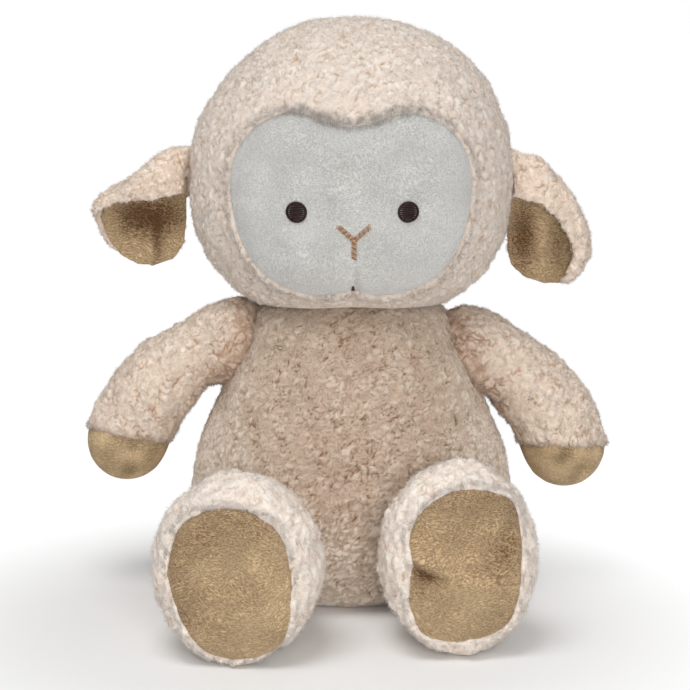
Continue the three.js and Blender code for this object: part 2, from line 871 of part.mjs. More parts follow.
// The arm's form, drawn in by an inset, seen from the shoulder
function armForm(sizes, inset, fine) {
  const sides = fine ? arm.sides : arm.coarseSides;
  const spine = new THREE.CatmullRomCurve3(armSpineShares.map(([outShare, downShare]) => (
    new THREE.Vector3(outShare * sizes.reachOut, 0, -downShare * sizes.reachDown))));
  const rings = [];
  const ringAt = (centre, along, radius) => {
    const across = new THREE.Vector3(-along.z, 0, along.x);
    const ring = [];
    for (let side = 0; side < sides; side += 1) {
      const angle = (side / sides) * 2 * Math.PI;
      const point = centre.clone().addScaledVector(across, radius * Math.cos(angle));
      point.y = radius * arm.depthShare * Math.sin(angle);
      point.x *= sizes.side;
      ring.push(point);
    }
    rings.push(ring);
  };
  for (let station = 0; station <= arm.spans; station += 1) {
    const share = station / arm.spans;
    const radius = sizes.radius * armRadiusShares[station] - inset;
    ringAt(spine.getPointAt(share), spine.getTangentAt(share), radius);
  }
  const end = spine.getPointAt(1);
  const way = spine.getTangentAt(1);
  const endRadius = sizes.radius - inset;
  for (let step = 1; step <= arm.endRings; step += 1) {
    const angle = (step / arm.endRings) * arm.endSweepShare * (Math.PI / 2);
    const centre = end.clone().addScaledVector(way, endRadius * Math.sin(angle));
    ringAt(centre, way, endRadius * Math.cos(angle));
  }
  const profile = [new THREE.Vector2(0, inset - arm.rootDepth)];
  profile.push(new THREE.Vector2(sizes.shoulderRadius - inset, inset - arm.rootDepth));
  for (const [bulgeShare, radiusShare] of shoulderProfileShares) {
    profile.push(new THREE.Vector2(
      Math.max(sizes.shoulderRadius * radiusShare - inset, 0),
      (arm.shoulderBulge - inset) * bulgeShare,
    ));
  }
  const shoulder = new THREE.LatheGeometry(profile, fine ? arm.shoulderSides : torso.coarseSides);
  const turn = new THREE.Quaternion().setFromUnitVectors(new THREE.Vector3(0, 1, 0), shoulderOutward(sizes));
  shoulder.applyQuaternion(turn);
  return loft(rings).add(solidOf(shoulder));
}

function makeArm(name) {
  const sizes = armSides[name];
  const form = armForm(sizes, 0, true);
  const hollow = armForm(sizes, coatWall, false);
  const tilt = sizes.handTilt * degree;
  const seamAt = sizes.reachDown + sizes.radius - sizes.handLength;
  const below = (gap) => {
    const room = new THREE.BoxGeometry(4 * sizes.reachOut, 4 * sizes.reachOut, 4 * sizes.reachOut);
    room.translate(0, 0, -2 * sizes.reachOut - gap);
    room.rotateY(sizes.side * tilt);
    room.translate(sizes.side * sizes.reachOut, 0, -seamAt);
    return solidOf(room);
  };
  const shell = form.subtract(hollow);
  const group = new THREE.Group();
  group.position.set(...shoulderPlace(sizes));
  group.add(
    pieceOf(`${name}_arm_skin`, shell.subtract(below(-restGap)), coatFinish),
    pieceOf(`${name}_hand_tip`, shell.intersect(below(0)), tanFinish),
    pieceOf(`${name}_arm_stuffing`, armForm(sizes, coatWall + restGap, false), fillFinish),
  );
  return group;
}

// How far a ring of the leg lies above the hip's line, so that its underside meets the floor
function legLift(sizes, forward, heightShare) {
  const fall = forward * Math.sin(sizes.pitch * degree);
  return sizes.footHalfHeight * heightShare - leg.hipHeight - fall - leg.floorCut;
}

// The leg's form, drawn in by an inset, seen from the hip
function legForm(sizes, inset, fine) {
  const sides = fine ? leg.sides : leg.coarseSides;
  const turn = new THREE.Euler(-sizes.pitch * degree, 0, sizes.side * sizes.toeOut * degree, 'ZXY');
  const lastRow = legProfileShares.length - 1;
  const rings = legProfileShares.map(([reachShare, widthShare, heightShare], row) => {
    const ring = [];
    const endShift = { 0: inset, [lastRow]: -inset }[row] ?? 0;
    const forward = sizes.reach * reachShare + endShift;
    const lift = legLift(sizes, forward, heightShare);
    for (let side = 0; side < sides; side += 1) {
      const angle = (side / sides) * 2 * Math.PI;
      const point = new THREE.Vector3(
        (sizes.footHalfWidth * widthShare - inset) * Math.cos(angle),
        -forward,
        lift + (sizes.footHalfHeight * heightShare - inset) * Math.sin(angle),
      );
      ring.push(point.applyEuler(turn));
    }
    return ring;
  });
  const hip = ball(leg.hipRadius - inset, [0, 0, 0], fine ? leg.hipSides : torso.coarseSides, true);
  return loft(rings).add(hip).intersect(roomAbove(inset - leg.hipHeight));
}

// The flat oval of the sole, between two distances from the hip
function soleForm(sizes, spread, stations) {
  const turn = new THREE.Euler(-sizes.pitch * degree, 0, sizes.side * sizes.toeOut * degree, 'ZXY');
  const lift = legLift(sizes, sizes.reach, 1);
  return loft(stations.map(([forward, share]) => {
    const ring = [];
    for (let side = 0; side < leg.sides; side += 1) {
      const angle = (side / leg.sides) * 2 * Math.PI;
      ring.push(new THREE.Vector3(
        (sizes.soleHalfWidth * share + spread) * Math.cos(angle),
        -forward,
        lift + (sizes.soleHalfHeight * share + spread) * Math.sin(angle),
      ).applyEuler(turn));
    }
    return ring;
  }));
}

function makeLeg(name) {
  const sizes = legSides[name];
  const opening = soleForm(sizes, restGap, [
    [sizes.reach - coatWall - overrun / 2, 1],
    [sizes.reach + overrun, 1],
  ]);
  const skin = legForm(sizes, 0, true).subtract(legForm(sizes, coatWall, false)).subtract(opening);
  const sole = soleForm(sizes, 0, [
    [sizes.reach - coatWall, 1],
    [sizes.reach - coatWall / 2, 1],
    ...soleDomeShares.map(([bulgeShare, sizeShare]) => [sizes.reach + leg.soleDome * bulgeShare, sizeShare]),
  ]);
  const group = new THREE.Group();
  group.position.set(...hipPlace(sizes));
  group.add(
    pieceOf(`${name}_leg_skin`, skin, coatFinish),
    pieceOf(`${name}_sole`, sole, tanFinish),
    pieceOf(`${name}_leg_stuffing`, legForm(sizes, coatWall + restGap, false), fillFinish),
  );
  return group;
}

function makeTail() {
  const rings = tailProfileShares.map(([lengthShare, sizeShare]) => {
    const ring = [];
    for (let side = 0; side < tail.sides; side += 1) {
      const angle = (side / tail.sides) * 2 * Math.PI;
      ring.push(new THREE.Vector3(
        tail.halfWidth * sizeShare * Math.cos(angle),
        tail.leanBack * lengthShare ** tail.leanShare + tail.halfDepth * sizeShare * Math.sin(angle),
        -tail.drop * lengthShare,
      ));
    }
    return ring;
  });
  const root = ball(tail.rootRadius, [0, 0, 0], tail.sides, true);
  const group = new THREE.Group();
  group.position.set(...tailPlace);
  group.add(pieceOf('tail', loft(rings).add(root), coatFinish));
  return group;
}

const sheep = new THREE.Group();
sheep.add(makeTorso(), makeHead(), makeTail());
for (const name of ['left', 'right']) {
  sheep.add(makeArm(name), makeLeg(name));
}

export default sheep;
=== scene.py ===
# A sitting stuffed sheep with a curly fleece coat, a velour face let into the head, and tan velour in its
# ears and on its hands and soles. Metres, +Z up, facing -Y, the sheep's own left side at +X.
import json
import math

import bmesh
import bpy
import numpy as np
from mathutils import Euler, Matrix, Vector


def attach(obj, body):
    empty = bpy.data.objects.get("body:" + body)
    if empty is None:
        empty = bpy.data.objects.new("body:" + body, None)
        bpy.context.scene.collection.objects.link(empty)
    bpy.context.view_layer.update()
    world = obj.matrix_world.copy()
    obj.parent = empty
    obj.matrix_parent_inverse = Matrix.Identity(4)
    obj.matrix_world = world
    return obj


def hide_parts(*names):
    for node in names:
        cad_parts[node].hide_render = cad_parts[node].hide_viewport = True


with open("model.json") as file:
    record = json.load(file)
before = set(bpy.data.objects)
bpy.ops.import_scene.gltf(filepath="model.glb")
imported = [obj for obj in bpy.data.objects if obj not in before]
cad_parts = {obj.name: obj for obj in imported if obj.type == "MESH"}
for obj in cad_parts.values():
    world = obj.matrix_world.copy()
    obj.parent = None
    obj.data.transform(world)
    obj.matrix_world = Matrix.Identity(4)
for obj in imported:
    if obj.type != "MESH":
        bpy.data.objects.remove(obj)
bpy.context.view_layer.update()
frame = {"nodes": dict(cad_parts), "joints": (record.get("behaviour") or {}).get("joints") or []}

nodes = frame["nodes"]
joints = {joint["name"]: joint for joint in frame["joints"]}
scene = bpy.context.scene
mm = 0.001


def say(text):
    print("sheep:", text)


# Mesh helpers

def newObject(name, data):
    made = bpy.data.objects.new(name, data)
    scene.collection.objects.link(made)
    return made


def fromBmesh(name, bm):
    mesh = bpy.data.meshes.new(name)
    bm.to_mesh(mesh)
    bm.free()
    return newObject(name, mesh)


def readAll(items, key):
    # three numbers for each item
    out = np.empty(len(items) * 3)
    items.foreach_get(key, out)
    return out.reshape(-1, 3)


def places(obj):
    return readAll(obj.data.vertices, "co")


def normalsOf(obj):
    return readAll(obj.data.vertex_normals, "vector")


def moveTo(obj, spots):
    obj.data.vertices.foreach_set("co", spots.ravel())
    obj.data.update()


def pushOut(obj, way):
    # moves each point along its normal
    moveTo(obj, places(obj) + normalsOf(obj) * way[:, None])


def aboveFloor(obj):
    spots = places(obj)
    spots[:, 2] = np.maximum(spots[:, 2], 0)
    moveTo(obj, spots)
    return spots


def keepValue(obj, key, values):
    # a value for each point, read by the material
    obj.data.attributes.new(key, "FLOAT", "POINT").data.foreach_set("value", values.astype(np.float32))


def bake(obj):
    # applies every modifier
    graph = bpy.context.evaluated_depsgraph_get()
    mesh = bpy.data.meshes.new_from_object(obj.evaluated_get(graph))
    obj.modifiers.clear()
    old = obj.data
    obj.data = mesh
    bpy.data.meshes.remove(old)


def keepLargestShell(obj):
    # a remesh of nested walls can leave inner shells behind
    bm = bmesh.new()
    bm.from_mesh(obj.data)
    left = set(bm.verts)
    shells = []
    while left:
        seed = left.pop()
        shell = {seed}
        edge = [seed]
        while edge:
            vert = edge.pop()
            for link in vert.link_edges:
                other = link.other_vert(vert)
                if other in left:
                    left.remove(other)
                    shell.add(other)
                    edge.append(other)
        shells.append(shell)
    shells.sort(key=len)
    for shell in shells[:-1]:
        bmesh.ops.delete(bm, geom=list(shell), context="VERTS")
    bm.to_mesh(obj.data)
    bm.free()


def remesh(obj, voxel, times):
    # even faces of one size in mm, smoothed a number of times
    voxels = obj.modifiers.new("voxels", "REMESH")
    voxels.mode = "VOXEL"
    voxels.voxel_size = voxel * mm
    bake(obj)
    keepLargestShell(obj)
    bm = bmesh.new()
    bm.from_mesh(obj.data)
    axes = {"use_axis_x": True, "use_axis_y": True, "use_axis_z": True}
    for _ in range(times):
        bmesh.ops.smooth_vert(bm, verts=bm.verts, factor=0.5, **axes)
    bm.to_mesh(obj.data)
    bm.free()


def softCopy(name, nodeNames, voxel, times):
    # one object from merged copies of CAD nodes, remeshed and smoothed
    bm = bmesh.new()
    for nodeName in nodeNames:
        bm.from_mesh(nodes[nodeName].data)
    bmesh.ops.remove_doubles(bm, verts=bm.verts, dist=0.01 * mm)
    made = fromBmesh(name, bm)
    remesh(made, voxel, times)
    return made


def subdivide(obj, levels):
    finer = obj.modifiers.new("finer", "SUBSURF")
    finer.levels = levels
    finer.render_levels = levels
    bake(obj)


clothSettings = {
    "quality": 5,
    "mass": 0.3,
    "tension_stiffness": 15,
    "compression_stiffness": 15,
    "bending_stiffness": 0.5,
    "use_pressure": True,
}
clothSteps = 20


def plump(obj, form, seam=None):
    # cloth under pressure from a slightly smaller shape, with the seams held and each point's way capped
    cap = form["cap"] * mm
    free = 1 if seam is None else (1 - seam)[:, None]
    moveTo(obj, places(obj) - normalsOf(obj) * 0.5 * cap * free)
    start = places(obj)
    cloth = obj.modifiers.new("cloth", "CLOTH")
    for key, value in clothSettings.items():
        setattr(cloth.settings, key, value)
    cloth.settings.uniform_pressure_force = form["pressure"]
    cloth.settings.effector_weights.gravity = 0
    cloth.collision_settings.use_collision = False
    if seam is not None:
        group = obj.vertex_groups.new(name="seam")
        for index in np.nonzero(seam > 0.01)[0]:
            group.add([int(index)], float(seam[index]), "REPLACE")
        cloth.settings.vertex_group_mass = "seam"
    for step in range(1, clothSteps + 1):
        scene.frame_set(step)
    blown = obj.evaluated_get(bpy.context.evaluated_depsgraph_get())
    way = readAll(blown.to_mesh().vertices, "co") - start
    blown.to_mesh_clear()
    obj.modifiers.clear()
    obj.vertex_groups.clear()
    length = np.linalg.norm(way, axis=1)
    share = np.minimum(1, cap / np.maximum(length, 1e-9))
    moveTo(obj, start + way * share[:, None])
    scene.frame_set(1)
    say(f"{obj.name} blown up by {1000 * float(np.mean(np.minimum(length, cap))):.1f} mm on average")


def fade(value, low, high):
    # 0 below low, 1 above high
    share = np.clip((value - low) / (high - low), 0, 1)
    return share * share * (3 - 2 * share)


def bell(value, width):
    # 1 at zero, falling off to both sides
    return np.exp(-(value / width) ** 2)


def unit(ways):
    return ways / (np.linalg.norm(ways, axis=1)[:, None] + 1e-9)


def softNoise(spots, size, seed):
    # smooth noise from crossed waves, about -1 to 1
    rng = np.random.default_rng(seed)
    total = np.zeros(len(spots))
    for _ in range(14):
        way = rng.normal(size=3)
        way *= 2 * math.pi / size * rng.uniform(0.75, 1.3) / np.linalg.norm(way)
        total += np.sin(spots @ way + rng.uniform(0, 2 * math.pi))
    return total / 5.3


def noiseWays(spots, size, seed):
    return np.stack([softNoise(spots, size * mm, seed + axis) for axis in range(3)], axis=1)


# Fleece: curls parted by winding crevices, and fine hair ends that lie over them in tufts
growth = {
    "level": 0.7,
    "floorGap": 0.2,
    "hairGap": 0.1,
    "hairless": 1.5,
    "inCrevice": 0.35,
    "seamReach": 2.2,
    "toneSize": 7,
    # painted light: hair is painted paler than the pile it grows from, the fringe paler still, and each hair
    # paler towards its tip
    "hairPile": 0.3,
    "fringePile": 0.6,
    "rootPile": 0.6,
    "tipPile": 0.3,
    "fringeUp": 1.1,
    "fringePull": 0.8,
    "fringeComb": 0.8,
    "fringeLean": 0.25,
}


def curlHeight(spots, curl, seed):
    # 0 in the crevices and 1 on the curls; the crevices follow where two noise fields change sign
    bent = spots + noiseWays(spots, 4.5, seed + 20) * curl["bend"] * mm
    bent[:, 2] /= curl["stretch"]
    first = np.abs(softNoise(bent, curl["size"] * mm, seed + 3))
    second = np.abs(softNoise(bent, curl["size"] * 0.8 * mm, seed + 4)) * 1.3
    dome = np.clip(np.minimum(first, second) / curl["slope"], 0, 1) ** 0.55
    soft = curl["soft"] * fade(softNoise(spots, 11 * mm, seed + 5), -0.6, 0.5)
    return dome * (1 - soft) + soft * (0.7 + 0.2 * first)


def spikeShape():
    # a thin closed spike of four faces, one long
    bm = bmesh.new()
    bmesh.ops.create_cone(bm, cap_ends=True, segments=3, radius1=1, radius2=0, depth=1)
    bmesh.ops.translate(bm, verts=bm.verts, vec=(0, 0, 0.5))
    bmesh.ops.remove_doubles(bm, verts=bm.verts, dist=1e-4)
    bmesh.ops.recalc_face_normals(bm, faces=bm.faces)
    spots = np.array([vert.co[:] for vert in bm.verts])
    faces = np.array([[vert.index for vert in face.verts] for face in bm.faces])
    bm.free()
    return spots, faces


def hairEnds(roots, ways, hair, rng):
    # one spike for each root, along its way
    shape, faces = spikeShape()
    count = len(roots)
    side = unit(np.cross(ways, rng.normal(size=ways.shape)))
    other = np.cross(ways, side)
    length = rng.uniform(0.5, 1, count) * hair["length"] * mm
    thick = rng.uniform(0.7, 1.3, count) * hair["thickness"] * mm / 2
    spots = (
        (roots - 0.2 * length[:, None] * ways)[:, None, :]
        + shape[None, :, :1] * (side * thick[:, None])[:, None, :]
        + shape[None, :, 1:2] * (other * thick[:, None])[:, None, :]
        + shape[None, :, 2:] * (ways * length[:, None])[:, None, :]
    )
    allFaces = faces[None] + (np.arange(count) * len(shape))[:, None, None]
    return spots.reshape(-1, 3), allFaces.reshape(-1, 3), shape[:, 2]


def addSpikes(obj, spikes, values):
    # joins closed spikes to the mesh and keeps point values for the material
    mesh = obj.data
    points = len(mesh.vertices)
    corners = np.empty(len(mesh.loops), np.int32)
    mesh.loops.foreach_get("vertex_index", corners)
    sizes = np.empty(len(mesh.polygons), np.int32)
    mesh.polygons.foreach_get("loop_total", sizes)
    spots = [places(obj)]
    allCorners = [corners]
    allSizes = [sizes]
    for spikeSpots, spikeFaces in spikes:
        spots.append(spikeSpots)
        allCorners.append((spikeFaces + points).ravel())
        allSizes.append(np.full(len(spikeFaces), 3))
        points += len(spikeSpots)
    allCorners = np.concatenate(allCorners).astype(np.int32)
    allSizes = np.concatenate(allSizes)
    made = bpy.data.meshes.new(obj.name)
    made.vertices.add(points)
    made.vertices.foreach_set("co", np.vstack(spots).ravel())
    made.loops.add(len(allCorners))
    made.loops.foreach_set("vertex_index", allCorners)
    made.polygons.add(len(allSizes))
    made.polygons.foreach_set("loop_start", np.concatenate([[0], np.cumsum(allSizes)[:-1]]).astype(np.int32))
    obj.data = made
    bpy.data.meshes.remove(mesh)
    for key, value in values.items():
        keepValue(obj, key, value)
    made.update(calc_edges=True)
    made.shade_smooth()
    say(f"{obj.name} has {int((allSizes - 2).sum())} triangles")


def growFleece(obj, coat, seed, cover=None, fringe=None, seam=None, dark=None):
    # cover is 1 where the fleece grows and 0 where something lies over it; fringe gives where longer hair
    # starts and where it leans to; seam is the distance from a panel, near which the pile is painted darker
    # as painted shade; dark is the share by which the pile is painted darker as painted shade where it lies
    # in a fold's shadow, and paler as painted light where it is below zero
    rng = np.random.default_rng(seed)
    hair = coat["hair"]
    spots = places(obj)
    normals = normalsOf(obj)
    cover = np.ones(len(spots)) if cover is None else cover
    dark = np.zeros(len(spots)) if dark is None else dark
    lumps = softNoise(spots, coat["lump"]["size"] * mm, seed + 1) * coat["lump"]["depth"]
    tufts = softNoise(spots, coat["tuft"]["size"] * mm, seed + 2) * coat["tuft"]["depth"]
    height = curlHeight(spots, coat["curl"], seed)
    lift = lumps + tufts + (height - growth["level"]) * coat["curl"]["depth"]
    spots = spots + normals * (lift * mm * cover)[:, None]
    spots[:, 2] = np.maximum(spots[:, 2], growth["floorGap"] * mm)
    moveTo(obj, spots)
    # painted shade: where the coat dips under a panel or lies under another piece its pile is painted dark,
    # and darker still near a panel's seam and where dark says so
    pile = height * cover + coat["seamPile"] * (1 - cover)
    if seam is not None:
        pile = pile * (1 - coat["seamShade"] * bell(seam / mm, growth["seamReach"]))
    pile = pile * (1 - dark)
    tone = softNoise(spots, growth["toneSize"] * mm, seed + 6)
    comb = noiseWays(spots, hair["tuft"], seed + 30)
    normals = normalsOf(obj)
    chance = cover * (spots[:, 2] > growth["hairless"] * mm) * (growth["inCrevice"] + height)
    wanted = int(hair["share"] * cover.sum())
    roots = rng.choice(len(spots), wanted, p=chance / chance.sum())
    ways = unit(normals[roots] + hair["comb"] * comb[roots] + hair["lean"] * rng.normal(size=(wanted, 3)))
    shift = rng.uniform(-0.5, 0.5, (wanted, 3)) * mm
    groups = [(roots, growth["hairPile"], hairEnds(spots[roots] + shift, ways, hair, rng))]
    if fringe is not None:
        chance, pull = fringe
        roots = rng.choice(len(spots), coat["fringe"]["count"], p=chance / chance.sum())
        ways = growth["fringeUp"] * normals[roots] + growth["fringePull"] * pull[roots]
        ways = ways + growth["fringeComb"] * comb[roots]
        ways = unit(ways + growth["fringeLean"] * rng.normal(size=(len(roots), 3)))
        groups.append((roots, growth["fringePile"], hairEnds(spots[roots], ways, coat["fringe"], rng)))
    piles = [pile]
    tones = [tone]
    spikes = []
    for roots, base, (spikeSpots, spikeFaces, tips) in groups:
        spikeSpots[:, 2] = np.maximum(spikeSpots[:, 2], growth["hairGap"] * mm)
        spikes.append((spikeSpots, spikeFaces))
        # painted light: each hair is painted paler than the pile at its root, and paler towards its tip
        spikePile = base + growth["rootPile"] * pile[roots][:, None] + growth["tipPile"] * tips[None]
        piles.append((spikePile * (1 - dark[roots][:, None])).ravel())
        tones.append(np.repeat(tone[roots], len(tips)))
    addSpikes(obj, spikes, {"pile": np.concatenate(piles), "tone": np.concatenate(tones)})


# Panels: smooth cloth let into the coat, drawn down at its seam

def panelFrom(obj, name, inside, panel):
    # inside is the distance from the seam, above zero on the panel
    sink = panel["seamDepth"] * np.exp(-np.maximum(inside, 0) / (panel["seamWidth"] * mm))
    sink += np.maximum(-inside, 0) / mm * panel["tuckSlope"]
    spots = places(obj) + normalsOf(obj) * ((panel["lift"] - sink) * mm)[:, None]
    bm = bmesh.new()
    bm.from_mesh(obj.data)
    bm.verts.ensure_lookup_table()
    for vert, spot in zip(bm.verts, spots):
        vert.co = Vector(spot)
    outside = [bm.verts[i] for i in np.nonzero(inside < -panel["margin"] * mm)[0]]
    bmesh.ops.delete(bm, geom=outside, context="VERTS")
    made = fromBmesh(name, bm)
    wall = made.modifiers.new("wall", "SOLIDIFY")
    wall.thickness = panel["thickness"] * mm
    wall.offset = -1
    bake(made)
    made.data.shade_smooth()
    return made


def sinkUnder(obj, inside, depth):
    # the coat dips below its panel
    pushOut(obj, -fade(inside, 0.2 * mm, 2 * mm) * depth * mm)


def nearLine(spots, start, end, width):
    # 1 on a line between two places, falling off to its sides and towards its ends
    a = np.array(start)
    run = np.array(end) - a
    share = np.clip((spots - a) @ run / (run @ run), 0, 1)
    away = np.linalg.norm(spots - (a + share[:, None] * run), axis=1)
    return bell(away, width) * np.sin(math.pi * np.clip(share, 0.08, 0.92))


def dimple(obj, across, height, reach, depth):
    # presses the front in around one place
    spots = places(obj)
    away = np.hypot(spots[:, 0] - across * mm, spots[:, 2] - height * mm) / mm
    spots[:, 1] += depth * mm * bell(away, reach) * (spots[:, 1] < 0)
    moveTo(obj, spots)


def crease(obj, start, end, width, depth, raised=0, flat=False):
    # a pressed-in line between two places, with one lip raised; a flat one takes any depth at the front
    spots = places(obj)
    a = np.array(start)
    run = np.array(end) - a
    share = np.clip((spots - a) @ run / (run @ run), 0, 1)
    gap = spots - (a + share[:, None] * run)
    if flat:
        gap[:, 1] = np.where(spots[:, 1] < -30 * mm, 0, 1)
    away = np.linalg.norm(gap, axis=1)
    lip = raised * bell(away - width * 0.9, width) * (gap[:, 2] >= 0)
    ends = np.sin(math.pi * np.clip(share, 0.02, 0.98)) ** 0.5
    pushOut(obj, (lip - depth * bell(away, width)) * ends)


def frontCrease(obj, front, row):
    # a flat crease from its row: across and height of both ends, width, depth
    fromAcross, fromHeight, toAcross, toHeight, width, depth = row
    start = Vector((fromAcross, front, fromHeight)) * mm
    end = Vector((toAcross, front, toHeight)) * mm
    crease(obj, start, end, width * mm, depth * mm, flat=True)


# Materials

def tint(code):
    parts = [int(code[i:i + 2], 16) / 255 for i in (1, 3, 5)]
    return tuple(p / 12.92 if p <= 0.04045 else ((p + 0.055) / 1.055) ** 2.4 for p in parts) + (1,)


def nodeIn(tree, kind, feeds=None, **settings):
    # a shader node, each input fed by a value or by another node's output
    made = tree.nodes.new(kind)
    for key, value in settings.items():
        setattr(made, key, value)
    for key, value in (feeds or {}).items():
        if isinstance(value, bpy.types.NodeSocket):
            tree.links.new(value, made.inputs[key])
        else:
            made.inputs[key].default_value = value
    return made


def maths(tree, operation, *feeds, clamp=False):
    made = nodeIn(tree, "ShaderNodeMath", dict(enumerate(feeds)), operation=operation, use_clamp=clamp)
    return made.outputs[0]


def vectorMaths(tree, operation, *feeds):
    made = nodeIn(tree, "ShaderNodeVectorMath", dict(enumerate(feeds)), operation=operation)
    return made.outputs["Vector"]


def noise(tree, where, scale, detail, distortion=0):
    feeds = {"Vector": where, "Scale": scale, "Detail": detail, "Distortion": distortion}
    return nodeIn(tree, "ShaderNodeTexNoise", feeds).outputs


def spread(tree, value, low, high, toLow=0, toHigh=1, kind="SMOOTHSTEP"):
    # takes low to high over to toLow to toHigh
    feeds = {"Value": value, "From Min": low, "From Max": high, "To Min": toLow, "To Max": toHigh}
    return nodeIn(tree, "ShaderNodeMapRange", feeds, interpolation_type=kind).outputs["Result"]


def mixed(tree, share, first, second):
    made = nodeIn(tree, "ShaderNodeMix", {"Factor": share, "A": first, "B": second}, data_type="RGBA")
    return made.outputs["Result"]


def attribute(tree, name):
    return nodeIn(tree, "ShaderNodeAttribute", attribute_name=name).outputs["Fac"]


def objectPlace(tree):
    return nodeIn(tree, "ShaderNodeTexCoord").outputs["Object"]


def newGroup(name, inputs):
    # a shader group with named inputs, which puts out a colour and a height
    tree = bpy.data.node_groups.new(name, "ShaderNodeTree")
    for label, value in inputs.items():
        kind = "NodeSocketColor" if isinstance(value, tuple) else "NodeSocketFloat"
        tree.interface.new_socket(name=label, in_out="INPUT", socket_type=kind).default_value = value
    tree.interface.new_socket(name="Color", in_out="OUTPUT", socket_type="NodeSocketColor")
    tree.interface.new_socket(name="Height", in_out="OUTPUT", socket_type="NodeSocketFloat")
    return tree, nodeIn(tree, "NodeGroupInput").outputs


fleeceLook = {
    "lowPile": (0.05, 0.55),
    "highPile": (0.6, 1.3),
    "loopScale": 200,
    "loopBend": 1.4,
    "lineWidth": 0.06,
    "loopRelief": 1.4,
    "patchScale": 38,
    "fibreScale": 900,
    "toneSwing": 0.045,
    "fibreSwing": 0.14,
    "level": 0.96,
}
napLook = {
    "turnScale": 26,
    "turn": 0.03,
    "streakBend": 0.6,
    "sharp": (0.37, 0.63),
    "fineScale": 1500,
    "fineShare": 0.5,
}
twistLook = {"scale": 1400, "toneSwing": -0.26, "range": (0.1, 0.7), "dark": 0.4, "light": 1.35}
darkCloth = (0.2, 0.15, 0.1, 1)
paleCloth = (0.7, 0.6, 0.5, 1)


def makeFleeceGroup():
    # curl tone from the pile's height, painted dark low in the crevices as painted shade and pale towards
    # the hair tips as painted light, with random patches, small loops parted by squiggly lines painted in
    # the crevice colour as painted shade, and fine fibre
    look = fleeceLook
    inputs = {"Crevice": darkCloth, "Curl": paleCloth, "Tip": paleCloth, "Patches": 0.1, "Loops": 0.3}
    tree, given = newGroup("fleece", inputs)
    where = objectPlace(tree)
    pile = attribute(tree, "pile")
    low = spread(tree, pile, *look["lowPile"])
    high = spread(tree, pile, *look["highPile"])
    squiggle = noise(tree, where, look["loopScale"], 1, look["loopBend"])["Fac"]
    apart = maths(tree, "ABSOLUTE", maths(tree, "SUBTRACT", squiggle, 0.5))
    loop = spread(tree, apart, 0, look["lineWidth"], -1, 0)
    lined = maths(tree, "MULTIPLY_ADD", loop, given["Loops"], low)
    curls = mixed(tree, lined, given["Crevice"], given["Curl"])
    tips = mixed(tree, high, curls, given["Tip"])
    patch = noise(tree, where, look["patchScale"], 3)["Fac"]
    fibre = noise(tree, where, look["fibreScale"], 4)["Fac"]
    swing = maths(tree, "MULTIPLY", maths(tree, "SUBTRACT", patch, 0.5), given["Patches"])
    swing = maths(tree, "MULTIPLY_ADD", attribute(tree, "tone"), look["toneSwing"], swing)
    swing = maths(tree, "MULTIPLY_ADD", fibre, look["fibreSwing"], swing)
    level = maths(tree, "ADD", swing, look["level"])
    scaled = nodeIn(tree, "ShaderNodeVectorMath", {0: tips, "Scale": level}, operation="SCALE")
    ridge = maths(tree, "MULTIPLY", loop, given["Loops"])
    relief = maths(tree, "MULTIPLY_ADD", ridge, look["loopRelief"], fibre)
    nodeIn(tree, "NodeGroupOutput", {"Color": scaled.outputs["Vector"], "Height": relief})
    return tree


def makeNapGroup():
    # brushed nap: short wavy streaks whose run turns slowly over the cloth
    look = napLook
    inputs = {"Dark": darkCloth, "Light": paleCloth, "Streak": 300, "Stretch": 4, "Contrast": 0.6}
    inputs["Shade"] = 0.6
    tree, given = newGroup("nap", inputs)
    where = objectPlace(tree)
    turn = vectorMaths(tree, "SUBTRACT", noise(tree, where, look["turnScale"], 2)["Color"], (0.5, 0.5, 0.5))
    bent = vectorMaths(tree, "MULTIPLY_ADD", turn, (look["turn"],) * 3, where)
    squeeze = nodeIn(tree, "ShaderNodeCombineXYZ", {"X": 1, "Y": 1, "Z": given["Stretch"]})
    stretched = vectorMaths(tree, "MULTIPLY", bent, squeeze.outputs["Vector"])
    streak = noise(tree, stretched, given["Streak"], 3, look["streakBend"])["Fac"]
    fine = noise(tree, where, look["fineScale"], 3)["Fac"]
    sharp = spread(tree, streak, *look["sharp"], kind="LINEAR")
    both = maths(tree, "MULTIPLY_ADD", fine, look["fineShare"], sharp)
    shade = maths(tree, "MULTIPLY", both, given["Contrast"])
    # the shade value darkens the cloth, or lightens it below zero: painted shade and painted light where the
    # face, soles and ears say so; random patches also ride on it
    darker = maths(tree, "MULTIPLY_ADD", attribute(tree, "shade"), given["Shade"], shade)
    share = maths(tree, "SUBTRACT", 1, darker, clamp=True)
    colour = mixed(tree, share, given["Dark"], given["Light"])
    nodeIn(tree, "NodeGroupOutput", {"Color": colour, "Height": both})
    return tree


def makeTwistGroup():
    # twisted thread in two tones
    look = twistLook
    tree, given = newGroup("twist", {"Dark": darkCloth, "Light": paleCloth})
    twist = noise(tree, objectPlace(tree), look["scale"], 2)["Fac"]
    darker = maths(tree, "MULTIPLY_ADD", attribute(tree, "tone"), look["toneSwing"], twist)
    share = spread(tree, darker, *look["range"], kind="LINEAR")
    colour = mixed(tree, share, given["Dark"], given["Light"])
    nodeIn(tree, "NodeGroupOutput", {"Color": colour, "Height": twist})
    return tree


fleeceGroup = makeFleeceGroup()
napGroup = makeNapGroup()
twistGroup = makeTwistGroup()


sheens = {"white": (1, 1, 1, 1), "warm": (1, 0.87, 0.74, 1), "tan": (1, 0.78, 0.56, 1)}


